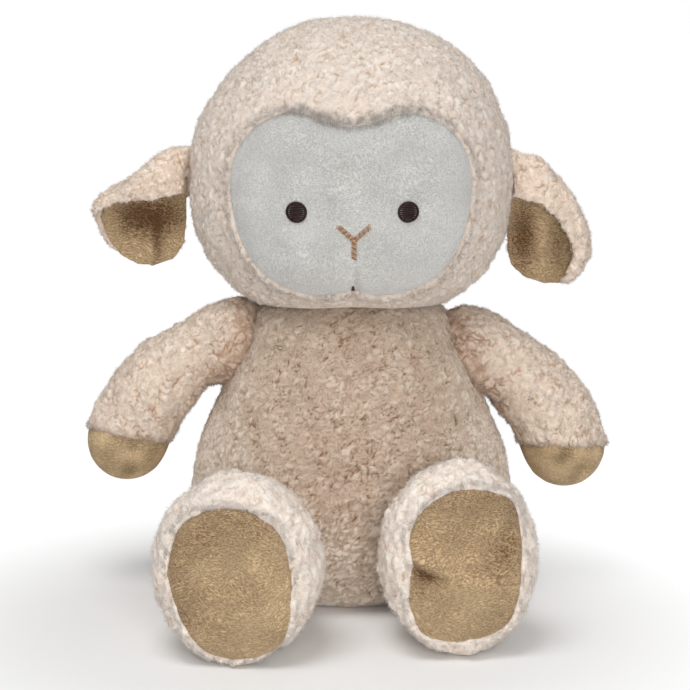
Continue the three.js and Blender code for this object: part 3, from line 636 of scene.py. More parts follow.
def clothMaterial(name, group, values, roughness, bumpHeight, sheen=0, sheenTint="white", specular=0.2):
    made = bpy.data.materials.new(name)
    made.use_nodes = True
    tree = made.node_tree
    shader = tree.nodes["Principled BSDF"]
    effect = nodeIn(tree, "ShaderNodeGroup", node_tree=group)
    for key, value in values.items():
        effect.inputs[key].default_value = value
    feeds = {"Distance": bumpHeight, "Strength": 1, "Height": effect.outputs["Height"]}
    bump = nodeIn(tree, "ShaderNodeBump", feeds)
    tree.links.new(bump.outputs["Normal"], shader.inputs["Normal"])
    tree.links.new(effect.outputs["Color"], shader.inputs["Base Color"])
    shader.inputs["Roughness"].default_value = roughness
    shader.inputs["Sheen Weight"].default_value = sheen
    shader.inputs["Sheen Roughness"].default_value = 0.5
    shader.inputs["Sheen Tint"].default_value = sheens[sheenTint]
    shader.inputs["Specular IOR Level"].default_value = specular
    return made


def fleeceMaterial(name, crevice, curl, tip, patches, loops, sheen=0.25):
    values = {"Crevice": tint(crevice), "Curl": tint(curl), "Tip": tint(tip), "Patches": patches}
    values["Loops"] = loops
    made = clothMaterial(name, fleeceGroup, values, 0.95, 0.5 * mm, sheen, "warm")
    shader = made.node_tree.nodes["Principled BSDF"]
    shader.inputs["Subsurface Weight"].default_value = 0.25
    shader.inputs["Subsurface Radius"].default_value = (1, 0.8, 0.6)
    shader.inputs["Subsurface Scale"].default_value = 2 * mm
    return made


def velourMaterial(name, dark, light, streak, stretch, contrast, bumpHeight, sheen=0.35, sheenTint="white"):
    values = {"Dark": tint(dark), "Light": tint(light), "Streak": streak, "Stretch": stretch, "Shade": 0.7}
    values["Contrast"] = contrast
    return clothMaterial(name, napGroup, values, 0.85, bumpHeight * mm, sheen, sheenTint)


def threadMaterial(name, code, roughness):
    base = tint(code)[:3]
    values = {
        "Dark": tuple(twistLook["dark"] * part for part in base) + (1,),
        "Light": tuple(min(1, twistLook["light"] * part) for part in base) + (1,),
    }
    return clothMaterial(name, twistGroup, values, roughness, 0.05 * mm, specular=0.3)


# each fleece: crevice colour (painted shade), curl colour, tip colour (painted light), patches, loops, sheen
bodyFleece = fleeceMaterial("body_fleece", "#805e43", "#bfa995", "#e0d1c2", 0.15, 0.36, 1)
headFleece = fleeceMaterial("head_fleece", "#bca28b", "#dccec2", "#efe6dd", 0.15, 0.16)
armFleece = fleeceMaterial("arm_fleece", "#b6937a", "#e4d1bf", "#f6e9dc", 0.15, 0.2)
paleFleece = fleeceMaterial("pale_fleece", "#d3bda9", "#ecdfd3", "#f8f1e9", 0.15, 0.12)
cotton = fleeceMaterial("fibre_fill", "#c9c8c2", "#efeeea", "#ffffff", 0.1, 0.1)
faceVelour = velourMaterial("face_velour", "#8a8984", "#dfdeda", 1150, 1.1, 0.46, 0.3, 1)
tanVelour = velourMaterial("tan_velour", "#603e1d", "#e5c79c", 780, 2.4, 0.52, 0.5, sheenTint="tan")
pouchCloth = velourMaterial("pouch_cloth", "#a39f94", "#dcd8cc", 700, 1, 0.5, 0.1)
eyeThread = threadMaterial("eye_thread", "#2c1511", 0.5)
noseThread = threadMaterial("nose_thread", "#b58c66", 0.55)
tuckThread = threadMaterial("tuck_thread", "#4a3226", 0.6)


def give(obj, material, body, node):
    # a piece's material, and what it rides on and replaces
    obj.data.materials.clear()
    obj.data.materials.append(material)
    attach(obj, body)
    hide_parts(node)


# Head form: the same soft square as the solids
headSize = {
    "neckHeight": 120,
    "height": 225,
    "halfWidth": 87.3,
    "rise": 87,
    "drop": 72.5,
    "depth": 72,
    "riseShape": 2.35,
    "dropShape": 2.6,
    "swellFront": 0.62,
    "cupRadius": 63.6,
    "voxel": 4.4,
    "pressure": 2500,
    "cap": 2,
    "hold": 4,
}
browDraw = {"way": 5, "low": 245, "high": 292, "inner": 5, "outer": 60}
faceSwells = (  # across, up from the widest line, reach, spread across, spread up
    (29, -35, 6.5, 21, 19),
    (-27, -35, 6.5, 21, 19),
    (1, -20, 4, 17, 15),
    (0, 21, 2, 32, 16),
    (1, -53, -6, 6, 14),
)
faceOutline = {
    "halfWidth": 65,
    "height": 97.5,
    "bottom": 171,
    "halfShares": (
        (0, 0.93), (0.185, 0.955), (0.445, 1), (0.69, 0.955), (0.88, 0.845), (0.985, 0.7), (1, 0.54),
        (0.94, 0.32), (0.8, 0.163), (0.585, 0.053), (0.34, 0), (0.14, 0.002), (0, 0.02),
    ),
}


def faceSwell(across, height):
    total = 0
    for place, up, reach, wide, tall in faceSwells:
        rise = height - headSize["height"] - up
        total += reach * math.exp(-((across - place) / wide) ** 2 - (rise / tall) ** 2)
    return total


def headPoint(way):
    # from a point of the unit ball to the head's surface, in metres
    size = headSize
    polar = math.asin(max(-1, min(1, way.z)))
    around = math.atan2(way.y, way.x)
    shape = size["riseShape"] if polar > 0 else size["dropShape"]
    tall = size["rise"] if polar > 0 else size["drop"]
    height = size["height"] + tall * math.copysign(abs(math.sin(polar)) ** (2 / shape), polar)
    girth = abs(math.cos(polar)) ** (2 / shape)
    across = size["halfWidth"] * girth * math.cos(around)
    front = max(0, -math.sin(around))
    swell = min(1, front / size["swellFront"]) * girth * faceSwell(across, height)
    forward = size["depth"] * girth * math.sin(around) - swell
    return Vector((across, forward, height)) * mm


def smoothClosed(points, steps):
    # a smooth line through the points of a closed outline
    count = len(points)
    line = []
    for index in range(count):
        a, b, c, d = (np.array(points[(index + shift) % count]) for shift in (-1, 0, 1, 2))
        for step in range(steps):
            t = step / steps
            line.append(0.5 * (2 * b + (c - a) * t + (2 * a - 5 * b + 4 * c - d) * t * t
                               + (3 * b - a - 3 * c + d) * t ** 3))
    return np.array(line)


def insideOutline(outline, across, up):
    # signed distance from a closed outline, above zero inside
    a = outline
    b = np.roll(outline, -1, axis=0)
    run = b - a
    flat = np.stack([across, up], axis=1)
    gap = flat[:, None, :] - a[None]
    share = np.clip((gap * run[None]).sum(2) / (run ** 2).sum(1)[None], 0, 1)
    away = np.linalg.norm(gap - share[..., None] * run[None], axis=2).min(1)
    rises = (a[None, :, 1] > up[:, None]) != (b[None, :, 1] > up[:, None])
    slope = run[None, :, 0] / (run[None, :, 1] + 1e-12)
    crossing = a[None, :, 0] + (up[:, None] - a[None, :, 1]) * slope
    hits = (rises & (across[:, None] < crossing)).sum(1)
    return np.where(hits % 2 == 1, away, -away)


def faceSeam():
    half = faceOutline["halfShares"]
    whole = list(half) + [(-x, y) for x, y in half[-2:0:-1]]
    points = [
        (x * faceOutline["halfWidth"] * mm, (faceOutline["bottom"] + y * faceOutline["height"]) * mm)
        for x, y in whole
    ]
    return smoothClosed(points, 8)


def insideFace(spots):
    inside = np.full(len(spots), -0.05)
    front = np.nonzero(spots[:, 1] < -0.012)[0]
    inside[front] = insideOutline(faceSeam(), spots[front, 0], spots[front, 2])
    return inside


eyeSize = {"radius": 5.4, "height": 216.8, "leftAcross": 29.3, "rightAcross": -28}
noseSize = {"across": 1.6, "height": 203, "spread": 7.8, "rise": 7, "stem": 9.5, "stroke": 2.9}
headCoat = {
    "curl": {"size": 9, "bend": 0.9, "stretch": 1, "slope": 0.5, "soft": 0.65, "depth": 1.6},
    "lump": {"size": 24, "depth": 0.5},
    "tuft": {"size": 7, "depth": 0.35},
    "hair": {"share": 0.5, "length": 2.6, "thickness": 0.22, "lean": 0.4, "comb": 0.9, "tuft": 6},
    "fringe": {"count": 8500, "length": 4.8, "thickness": 0.3},
    "seamPile": 0.35,
    "seamShade": 0.2,
    "fill": 0.85,
}
facePanel = {
    "lift": 0.8,
    "seamDepth": 3.2,
    "seamWidth": 4.6,
    "tuckSlope": 0.6,
    "margin": 2.6,
    "thickness": 1.2,
    "sink": 5,
}
chinFull = {"low": 176, "high": 200, "lift": 2}
eyeDent = {"down": 1, "reach": 9, "depth": 2}
# the chin's crease and faint folds of the velour: across and height of both ends, width, depth
faceFolds = (
    (1.6, 190, 1.6, 169, 2, 1.9),
    (32, 214, 47, 204, 2.4, 0.9),
    (30, 211, 38, 198, 2.2, 0.6),
    (-31, 205, -19, 204, 1.5, 0.5),
    (-31, 212, -42, 203, 2.4, 0.6),
    (-4, 190, -13, 181, 2.6, 0.5),
)
# painted shade on the face's velour: darker over the forehead and near the seam; the patches are random tone
faceShade = {
    "forehead": 0.12,
    "low": 205,
    "high": 245,
    "rim": 0.14,
    "rimWidth": 3,
    "patches": 0.1,
    "patchSize": 26,
}
# the hair that hangs over the face's edge, denser at the middle of the brow
browFringe = {
    "back": 0.9,
    "width": 1.6,
    "share": 0.35,
    "extra": 4,
    "low": 230,
    "high": 258,
    "reach": 26,
    "aimForward": 6,
    "aimDown": 12,
}


def headForm():
    size = headSize
    bm = bmesh.new()
    bmesh.ops.create_icosphere(bm, subdivisions=5, radius=1)
    for vert in bm.verts:
        vert.co = headPoint(vert.co)
    head = fromBmesh("head_coat", bm)
    remesh(head, size["voxel"], 1)
    plump(head, size, bell(insideFace(places(head)), size["hold"] * mm))
    subdivide(head, 2)
    spots = places(head)
    draw = fade(spots[:, 2], browDraw["low"] * mm, browDraw["high"] * mm)
    draw = draw * fade(-spots[:, 0], browDraw["inner"] * mm, browDraw["outer"] * mm)
    spots[:, 0] += browDraw["way"] * mm * draw
    # a cup that fits over the neck
    centre = np.array([0, 0, size["neckHeight"]]) * mm
    gap = spots - centre
    away = np.linalg.norm(gap, axis=1)
    cup = size["cupRadius"] * mm
    inCup = away < cup
    spots[inCup] = centre + gap[inCup] * (cup / away[inCup])[:, None]
    moveTo(head, spots)
    return head, insideFace(spots), fade(away, cup + 0.2 * mm, cup + 2 * mm)


def makeFace(head, inside):
    for across in (eyeSize["leftAcross"], eyeSize["rightAcross"]):
        dimple(head, across, eyeSize["height"] - eyeDent["down"], eyeDent["reach"], eyeDent["depth"])
    full = 1 - fade(places(head)[:, 2], chinFull["low"] * mm, chinFull["high"] * mm)
    pushOut(head, full * (inside > -2 * mm) * chinFull["lift"] * mm)
    for row in faceFolds:
        frontCrease(head, -(headSize["depth"] + 3), row)
    face = panelFrom(head, "face_velour", inside, facePanel)
    spots = places(face)
    # painted shade over the forehead and along the seam, with random patches
    shade = faceShade["forehead"] * fade(spots[:, 2], faceShade["low"] * mm, faceShade["high"] * mm)
    fromRim = np.maximum(insideFace(spots), 0)
    shade += faceShade["rim"] * np.exp(-fromRim / (faceShade["rimWidth"] * mm))
    shade += faceShade["patches"] * softNoise(spots, faceShade["patchSize"] * mm, 85)
    keepValue(face, "shade", shade)
    give(face, faceVelour, "head", "face_panel")
    return face


def makeHead():
    head, inside, besideNeck = headForm()
    face = makeFace(head, inside)
    sinkUnder(head, inside, facePanel["sink"])
    cover = (1 - fade(inside, 0.6 * mm, 2 * mm)) * besideNeck
    aim = (0, -(headSize["depth"] + browFringe["aimForward"]), headSize["height"] - browFringe["aimDown"])
    spots = places(head)
    high = fade(spots[:, 2], browFringe["low"] * mm, browFringe["high"] * mm)
    middle = bell(spots[:, 0], browFringe["reach"] * mm)
    rim = bell(inside + browFringe["back"] * mm, browFringe["width"] * mm)
    rim = rim * (browFringe["share"] + high * middle * browFringe["extra"])
    growFleece(head, headCoat, 11, cover, fringe=(rim, unit(np.array(aim) * mm - spots)), seam=inside)
    give(head, headFleece, "head", "head_skin")
    say("head and face are made")
    return face


# Torso: turned from its side outline
torsoSize = {
    "loftHeight": 140,
    "halfWidth": 88.5,
    "halfDepth": 76,
    "domeRadius": 62.3,
    "domeGap": 4,
    "roundLow": 14,
    "roundHigh": 2,
    "voxel": 4.4,
    "pressure": 2500,
    "cap": 2,
}
# share of the height, of the half width and of the half depth
torsoShares = (
    (0, 0.72, 0.7), (0.035, 0.83, 0.81), (0.11, 0.92, 0.91), (0.22, 0.98, 0.985), (0.34, 1, 1),
    (0.48, 0.985, 0.985), (0.6, 0.93, 0.93), (0.71, 0.86, 0.865), (0.82, 0.775, 0.835),
    (0.92, 0.705, 0.81), (1, 0.63, 0.73),
)
bodyCoat = {
    "curl": {"size": 8, "bend": 1.1, "stretch": 0.8, "slope": 0.55, "soft": 0.45, "depth": 1.2},
    "lump": {"size": 30, "depth": 0.8},
    "tuft": {"size": 8, "depth": 0.35},
    "hair": {"share": 0.36, "length": 2.2, "thickness": 0.2, "lean": 0.4, "comb": 0.9, "tuft": 5},
    "seamPile": 0.2,
    "fill": 0.75,
}
bodyHold = {"neckLow": 132, "neckHigh": 140, "seat": 6}
bodyCover = {"neckLow": 166, "neckHigh": 172, "seatLow": 0.2, "seatHigh": 3}
neckGroove = {"low": 153, "high": 162, "share": 0.1}
# the gather under the chin: a crease, and painted shade on the pile around it
chinGather = {
    "line": (1, 158, 1, 134, 4, 3),
    "front": -66,
    "shade": 0.3,
    "reach": 12,
    "low": 128,
    "high": 150,
}
# painted light: the belly's pile is painted paler low down, and at its sides
lowPaintedLight = {"share": 0.4, "low": 30, "high": 80}
sidePaintedLight = {"share": 0.45, "inner": 42, "outer": 74, "below": 0.05}
# the chest is fuller beside the sleeves
shoulderSwell = {"across": 55, "front": -42, "height": 128, "wide": 17, "tall": 24, "lift": 5.5}
# where the sleeves are sewn on: the seam runs outward as it goes down; the pile on both sides of it is
# painted darker there as painted shade
sleeveSeam = {
    "across": 53,
    "height": 155,
    "slope": 0.39,
    "bodyShade": 0.45,
    "bodyReach": 9,
    "bodyLow": 96,
    "bodyHigh": 112,
    "armShade": 0.6,
    "armStart": 2,
    "armReach": 24,
}


def pastSleeveSeam(spots, side):
    # the way out from the sleeve's seam, in mm, below zero on the torso's side
    seam = sleeveSeam["across"] + (sleeveSeam["height"] - spots[:, 2] / mm) * sleeveSeam["slope"]
    return side * spots[:, 0] / mm - seam


def bodyForm():
    size = torsoSize
    neck = headSize["neckHeight"]
    bm = bmesh.new()
    line = [bm.verts.new((0, 0, 0))]
    for heightShare, widthShare, _ in torsoShares:
        line.append(bm.verts.new((widthShare, 0, size["loftHeight"] * heightShare)))
    domeStart = size["loftHeight"] + size["domeGap"]
    for step in range(8):
        height = domeStart + (neck + size["domeRadius"] - domeStart) * math.sin(step / 7 * math.pi / 2)
        reach = math.sqrt(max(0, size["domeRadius"] ** 2 - (height - neck) ** 2))
        line.append(bm.verts.new((reach / size["halfWidth"], 0, height)))
    edges = [bm.edges.new(pair) for pair in zip(line, line[1:])]
    bmesh.ops.spin(
        bm, geom=line + edges, cent=(0, 0, 0), axis=(0, 0, 1), dvec=(0, 0, 0),
        angle=2 * math.pi, steps=48, use_merge=True, use_duplicate=False,
    )
    bmesh.ops.remove_doubles(bm, verts=bm.verts, dist=1e-4)
    bmesh.ops.recalc_face_normals(bm, faces=bm.faces)
    heights = [share[0] * size["loftHeight"] for share in torsoShares]
    depthRatio = [share[2] / share[1] for share in torsoShares]
    low = size["loftHeight"] - size["roundLow"]
    high = size["loftHeight"] + size["roundHigh"]
    for vert in bm.verts:
        flat = np.interp(vert.co.z, heights, depthRatio) * size["halfDepth"] / size["halfWidth"]
        round_ = fade(np.array(vert.co.z), low, high)
        flat = flat * (1 - round_) + round_
        forward = vert.co.y * size["halfWidth"] * flat
        vert.co = Vector((vert.co.x * size["halfWidth"], forward, vert.co.z)) * mm
    body = fromBmesh("body_coat", bm)
    remesh(body, size["voxel"], 1)
    heights = places(body)[:, 2]
    seam = fade(heights, bodyHold["neckLow"] * mm, bodyHold["neckHigh"] * mm)
    seam = seam + 1 - fade(heights, 0, bodyHold["seat"] * mm)
    plump(body, size, np.clip(seam, 0, 1))
    subdivide(body, 2)
    return body


def bodyShade(spots):
    # painted shade under the chin and at the sleeves, painted light low down and at the sides
    heights = spots[:, 2]
    middle = bell(spots[:, 0], chinGather["reach"] * mm) * (spots[:, 1] < 0)
    dark = chinGather["shade"] * middle * fade(heights, chinGather["low"] * mm, chinGather["high"] * mm)
    for side in (-1, 1):
        near = fade(pastSleeveSeam(spots, side), -sleeveSeam["bodyReach"], 0)
        near = near * fade(heights, sleeveSeam["bodyLow"] * mm, sleeveSeam["bodyHigh"] * mm)
        dark = np.maximum(dark, sleeveSeam["bodyShade"] * near)
    dark -= lowPaintedLight["share"] * (1 - fade(heights, lowPaintedLight["low"] * mm, lowPaintedLight["high"] * mm))
    beside = fade(np.abs(spots[:, 0]), sidePaintedLight["inner"] * mm, sidePaintedLight["outer"] * mm)
    dark -= sidePaintedLight["share"] * beside * (dark < sidePaintedLight["below"])
    return dark


def makeBody():
    body = bodyForm()
    frontCrease(body, chinGather["front"], chinGather["line"])
    swell = shoulderSwell
    for side in (-1, 1):
        away = places(body) / mm - (side * swell["across"], swell["front"], swell["height"])
        away /= (swell["wide"], swell["wide"], swell["tall"])
        pushOut(body, swell["lift"] * mm * np.exp(-(away ** 2).sum(1)))
    spots = aboveFloor(body)
    drawn = 1 - neckGroove["share"] * fade(spots[:, 2], neckGroove["low"] * mm, neckGroove["high"] * mm)
    spots[:, :2] *= drawn[:, None]
    moveTo(body, spots)
    cover = 1 - fade(spots[:, 2], bodyCover["neckLow"] * mm, bodyCover["neckHigh"] * mm)
    cover *= fade(spots[:, 2], bodyCover["seatLow"] * mm, bodyCover["seatHigh"] * mm)
    growFleece(body, bodyCoat, 23, cover, dark=bodyShade(spots))
    give(body, bodyFleece, "torso", "body_skin")
    say("torso is made")


# Limbs: the outer forms of the solids, blown up and smoothed
armForm = {"voxel": 3.6, "pressure": 12000, "cap": 1.6, "hold": 3}
armCoat = {
    "curl": {"size": 8.5, "bend": 0.9, "stretch": 1, "slope": 0.5, "soft": 0.7, "depth": 1.7},
    "lump": {"size": 22, "depth": 1},
    "tuft": {"size": 7, "depth": 0.4},
    "hair": {"share": 0.75, "length": 2.5, "thickness": 0.2, "lean": 0.4, "comb": 0.9, "tuft": 6},
    "fringe": {"count": 1500, "length": 3.2, "thickness": 0.26},
    "seamPile": 0.2,
    "seamShade": 0.45,
    "fill": 0.7,
}
handPanel = {
    "seamUp": 2.5,
    "bow": 3,
    "lift": 0.1,
    "seamDepth": 1.8,
    "seamWidth": 2,
    "tuckSlope": 0.5,
    "margin": 2.2,
    "thickness": 1.2,
    "sink": 3,
    "fringeBack": 0.3,
    "fringeWidth": 1.2,
    "fringePull": 0.8,
}
# way down from the seam and turn of each fold
handFolds = {"rows": ((8, 0.4), (14, -0.5)), "half": 9, "width": 3.2, "depth": 1.2}
handShade = {"swing": 0.35, "size": 14, "level": -0.16}
armSides = {
    "left": {"side": 1, "down": 53, "radius": 24, "hand": 27, "tilt": 2, "out": 56},
    "right": {"side": -1, "down": 54.5, "radius": 23.5, "hand": 29, "tilt": -10, "out": 63},
}


def makeArm(name):
    size = armSides[name]
    solids = [f"{name}_arm_skin", f"{name}_hand_tip", f"{name}_arm_stuffing"]
    arm = softCopy(f"{name}_arm_coat", solids, armForm["voxel"], 2)
    tilt = math.radians(size["tilt"])
    shoulder = np.array(joints[f"{name}_arm_swing"]["pos_m"])
    down = size["down"] + size["radius"] - size["hand"]
    pivot = shoulder + np.array([size["side"] * size["out"], 0, -down]) * mm
    downWay = np.array([-size["side"] * math.sin(tilt), 0, -math.cos(tilt)])

    def insideHand(spots):
        gap = (spots - pivot) / mm
        bow = handPanel["bow"] * (gap[:, 0] / size["radius"]) ** 2
        return (gap @ downWay + handPanel["seamUp"] - bow) * mm

    plump(arm, armForm, bell(insideHand(places(arm)), armForm["hold"] * mm))
    subdivide(arm, 2)
    inside = insideHand(places(arm))
    for drop, turn in handFolds["rows"]:
        spot = pivot + downWay * drop * mm + np.array([0, -size["radius"] * mm, 0])
        way = np.array([math.cos(turn), 0, math.sin(turn)]) * handFolds["half"] * mm
        crease(arm, spot - way, spot + way, handFolds["width"] * mm, handFolds["depth"] * mm)
    hand = panelFrom(arm, f"{name}_hand_velour", inside, handPanel)
    patches = softNoise(places(hand), handShade["size"] * mm, 83)
    keepValue(hand, "shade", handShade["swing"] * patches + handShade["level"])
    give(hand, tanVelour, f"{name}_arm", f"{name}_hand_tip")
    sinkUnder(arm, inside, handPanel["sink"])
    rim = bell(inside + handPanel["fringeBack"] * mm, handPanel["fringeWidth"] * mm)
    pull = np.tile(downWay * handPanel["fringePull"], (len(rim), 1))
    past = pastSleeveSeam(places(arm), size["side"])
    # painted shade on the sleeve's pile near the shoulder seam
    dark = sleeveSeam["armShade"] * (1 - fade(past, sleeveSeam["armStart"], sleeveSeam["armReach"]))
    cover = 1 - fade(inside, 0.6 * mm, 2 * mm)
    growFleece(arm, armCoat, 31 + size["side"], cover, fringe=(rim, pull), seam=inside, dark=dark)
    give(arm, armFleece, f"{name}_arm", f"{name}_arm_skin")
    say(f"{name} arm is made")


legForm = {"voxel": 4.2, "pressure": 7000, "cap": 2, "hold": 3.5, "floorHold": 3}
legCoat = {
    "curl": {"size": 11, "bend": 1.2, "stretch": 1, "slope": 0.55, "soft": 0.85, "depth": 1.5},
    "lump": {"size": 20, "depth": 1},
    "tuft": {"size": 6.5, "depth": 0.6},
    "hair": {"share": 0.7, "length": 3, "thickness": 0.22, "lean": 0.4, "comb": 1.1, "tuft": 7},
    "fringe": {"count": 4500, "length": 3.2, "thickness": 0.26},
    "seamPile": 0.35,
    "seamShade": 0.1,
    "fill": 0.8,
}
solePanel = {
    "lift": 0.4,
    "seamDepth": 2.2,
    "seamWidth": 2.2,
    "tuckSlope": 0.5,
    "margin": 2.4,
    "thickness": 1.2,
    "sink": 3.5,
    "behind": 14,
    "pleatForward": 1.5,
}
legSides = {
    "left": {
        "side": 1,
        "toeOut": 7,
        "pitch": 6,
        "reach": 74,
        "footHalfHeight": 50,
        "halfWidth": 30,
        "halfHeight": 37.5,
        "soleShares": (
            (0.25, 1.01), (-0.24, 0.98), (-0.63, 0.8), (-0.89, 0.55), (-0.98, 0.3), (-0.93, 0.05),
            (-1, -0.24), (-0.95, -0.62), (-0.7, -1), (0.1, -1.07), (0.77, -0.85), (0.98, -0.3),
            (1, 0.41), (0.86, 0.84),
        ),
        # each fold: from, to, width, depth, raised lip, and the painted shadow below it
        "folds": (
            {"from": (-31, 1), "to": (-10, -7), "width": 2.4, "depth": 4.4, "lip": 3.4, "shade": 0.75},
            {"from": (27, 20), "to": (15, 3), "width": 4.5, "depth": 2.6, "lip": 0, "shade": 0.35},
            {"from": (-28, -12), "to": (-18, -9), "width": 3, "depth": 0.8, "lip": 0, "shade": 0.4},
        ),
    },
    "right": {
        "side": -1,
        "toeOut": 8,
        "pitch": 3,
        "reach": 88,
        "footHalfHeight": 48,
        "halfWidth": 32,
        "halfHeight": 36.5,
        "soleShares": (
            (0.05, 0.95), (-0.46, 0.87), (-0.83, 0.63), (-1, 0.11), (-0.95, -0.25), (-0.77, -0.7),
            (-0.42, -1.1), (-0.03, -1.2), (0.65, -1.13), (0.95, -0.78), (1.02, -0.11), (0.95, 0.32),
            (0.75, 0.67), (0.43, 0.86),
        ),
        # each fold: from, to, width, depth, raised lip, and the painted shadow below it
        "folds": (
            {"from": (-30, -14), "to": (-14, -22), "width": 3.5, "depth": 0.9, "lip": 0, "shade": 0.2},
        ),
    },
}
# drop from the sole's top and half length of each pleat
solePleats = {"rows": ((7, 13), (11, 17), (16, 15)), "width": 1.6, "depth": 0.7}
# on the sole: painted shade towards its top, under the fleece's edge; darker towards its outer side; random
# patches; and the width of the painted shadow below each fold
soleShade = {"top": 0.25, "outside": 0.12, "patches": 0.12, "patchSize": 22, "foldWidth": 1.5}
soleFringe = {
    "back": 0.5,
    "width": 1.5,
    "share": 0.4,
    "low": 50,
    "high": 80,
    "least": 0.2,
    "aimForward": 8,
}
hipHeight = 40
floorCut = 0.5


def soleFrame(name):
    # the sole's middle and its ways across, up and forward
    size = legSides[name]
    angles = (-math.radians(size["pitch"]), 0, size["side"] * math.radians(size["toeOut"]))
    turn = Euler(angles, "YXZ").to_matrix()
    fall = size["reach"] * math.sin(math.radians(size["pitch"]))
    lift = size["footHalfHeight"] - hipHeight - fall - floorCut
    hip = Vector(joints[f"{name}_leg_lift"]["pos_m"])
    middle = hip + turn @ Vector((0, -size["reach"], lift)) * mm
    ways = [turn @ Vector(way) for way in ((1, 0, 0), (0, 0, 1), (0, -1, 0))]
    return [np.array(part) for part in [middle] + ways]


def makeLeg(name):
    size = legSides[name]
    solids = [f"{name}_leg_skin", f"{name}_sole", f"{name}_leg_stuffing"]
    leg = softCopy(f"{name}_leg_coat", solids, legForm["voxel"], 2)
    middle, acrossWay, upWay, forwardWay = soleFrame(name)
    seam = smoothClosed(
        [(x * size["halfWidth"] * mm, y * size["halfHeight"] * mm) for x, y in size["soleShares"]], 6,
    )

    def insideSole(spots):
        gap = spots - middle
        inside = insideOutline(seam, gap @ acrossWay, gap @ upWay)
        return np.where(gap @ forwardWay > -solePanel["behind"] * mm, inside, -0.05)

    def onSole(across, up):
        return middle + (acrossWay * across + upWay * up + forwardWay * solePanel["pleatForward"]) * mm

    held = bell(insideSole(places(leg)), legForm["hold"] * mm)
    held = held + (1 - fade(places(leg)[:, 2], 0, legForm["floorHold"] * mm))
    plump(leg, legForm, np.clip(held, 0, 1))
    subdivide(leg, 2)
    spots = aboveFloor(leg)
    inside = insideSole(spots)
    for fold in size["folds"]:
        width = fold["width"] * mm
        depth = fold["depth"] * mm
        crease(leg, onSole(*fold["from"]), onSole(*fold["to"]), width, depth, fold["lip"] * mm)
    for drop, half in solePleats["rows"]:
        up = size["halfHeight"] - drop
        width = solePleats["width"] * mm
        crease(leg, onSole(-half, up), onSole(half, up), width, solePleats["depth"] * mm)
    sole = panelFrom(leg, f"{name}_sole_velour", inside, solePanel)
    gap = places(sole) - middle
    rise = (gap @ upWay) / mm / size["halfHeight"]
    outward = (gap @ acrossWay) / mm / size["halfWidth"] * size["side"]
    # painted shade towards the sole's top; darker towards its outer side, with random patches
    shade = soleShade["top"] * fade(rise, -0.3, 1) + soleShade["outside"] * fade(outward, 0, 1)
    shade += soleShade["patches"] * softNoise(places(sole), soleShade["patchSize"] * mm, 81)
    # a painted shadow just below each fold
    for fold in size["folds"]:
        below = np.array((0, -fold["width"]))
        start = onSole(*(np.array(fold["from"]) + below))
        end = onSole(*(np.array(fold["to"]) + below))
        width = fold["width"] * soleShade["foldWidth"] * mm
        shade += fold["shade"] * nearLine(places(sole), start, end, width)
    keepValue(sole, "shade", shade)
    give(sole, tanVelour, f"{name}_leg", f"{name}_sole")
    sinkUnder(leg, inside, solePanel["sink"])
    cover = (1 - fade(inside, 0.6 * mm, 2 * mm)) * fade(spots[:, 2], 0.2 * mm, 3 * mm)
    high = fade(spots[:, 2], soleFringe["low"] * mm, soleFringe["high"] * mm)
    rim = bell(inside + soleFringe["back"] * mm, soleFringe["width"] * mm) * (soleFringe["share"] + high)
    rim *= cover + soleFringe["least"]
    pull = unit(middle + forwardWay * soleFringe["aimForward"] * mm - spots)
    growFleece(leg, legCoat, 41 + size["side"], cover, fringe=(rim, pull), seam=inside)
    give(leg, paleFleece, f"{name}_leg", f"{name}_leg_skin")
    say(f"{name} leg is made")


# Ears: a fleece back and a smooth lining
earCoat = {
    "curl": {"size": 8, "bend": 0.9, "stretch": 1, "slope": 0.5, "soft": 0.8, "depth": 1.3},
    "lump": {"size": 16, "depth": 0.6},
    "tuft": {"size": 5, "depth": 0.4},
    "hair": {"share": 0.75, "length": 2.8, "thickness": 0.2, "lean": 0.4, "comb": 1, "tuft": 6},
    "seamPile": 0.2,
    "fill": 0.3,
}
earForm = {"backVoxel": 1.7, "backSmooth": 4, "liningVoxel": 0.9, "liningSmooth": 5}
# the ear's inner edge is drawn in until it meets the head
earRoot = {"start": 2, "reach": 16}
liningEdge = {"start": 30, "end": 52, "draw": 4.5}
# hollows and folds in each ear: out, up, spread out, spread up, push back, and painted shade (below zero,
# painted light)
earSides = {
    "left": {
        "side": 1,
        "seed": 51,
        "root": 5,
        "dents": ((5, -35, 8, 17, 3, 0.9), (15, -30, 4.5, 16, -2.5, -0.3), (24, -40, 6, 14, 1.5, 0.45)),
    },
    "right": {
        "side": -1,
        "seed": 53,
        "root": 3.5,
        "dents": ((22, -24, 21, 11, 3, 0.95), (17, -38, 2.6, 13, 1.6, 0.6), (42, -27, 6, 9, -1, -0.3)),
    },
}


def drawToHead(obj, name):
    side = earSides[name]["side"]
    spots = places(obj)
    out = np.maximum(0, (spots[:, 0] - joints[f"{name}_ear_flap"]["pos_m"][0]) * side) / mm
    share = 1 - fade(out, earRoot["start"], earRoot["reach"])
    spots[:, 0] -= side * share * earSides[name]["root"] * mm
    moveTo(obj, spots)


def drawEdgeIn(obj, name):
    # the lining's outer edge stays inside the fleece
    side = earSides[name]["side"]
    spots = places(obj)
    out = (spots[:, 0] - joints[f"{name}_ear_flap"]["pos_m"][0]) * side / mm
    spots[:, 0] -= side * (liningEdge["draw"] * fade(out, liningEdge["start"], liningEdge["end"]) * mm)
    moveTo(obj, spots)


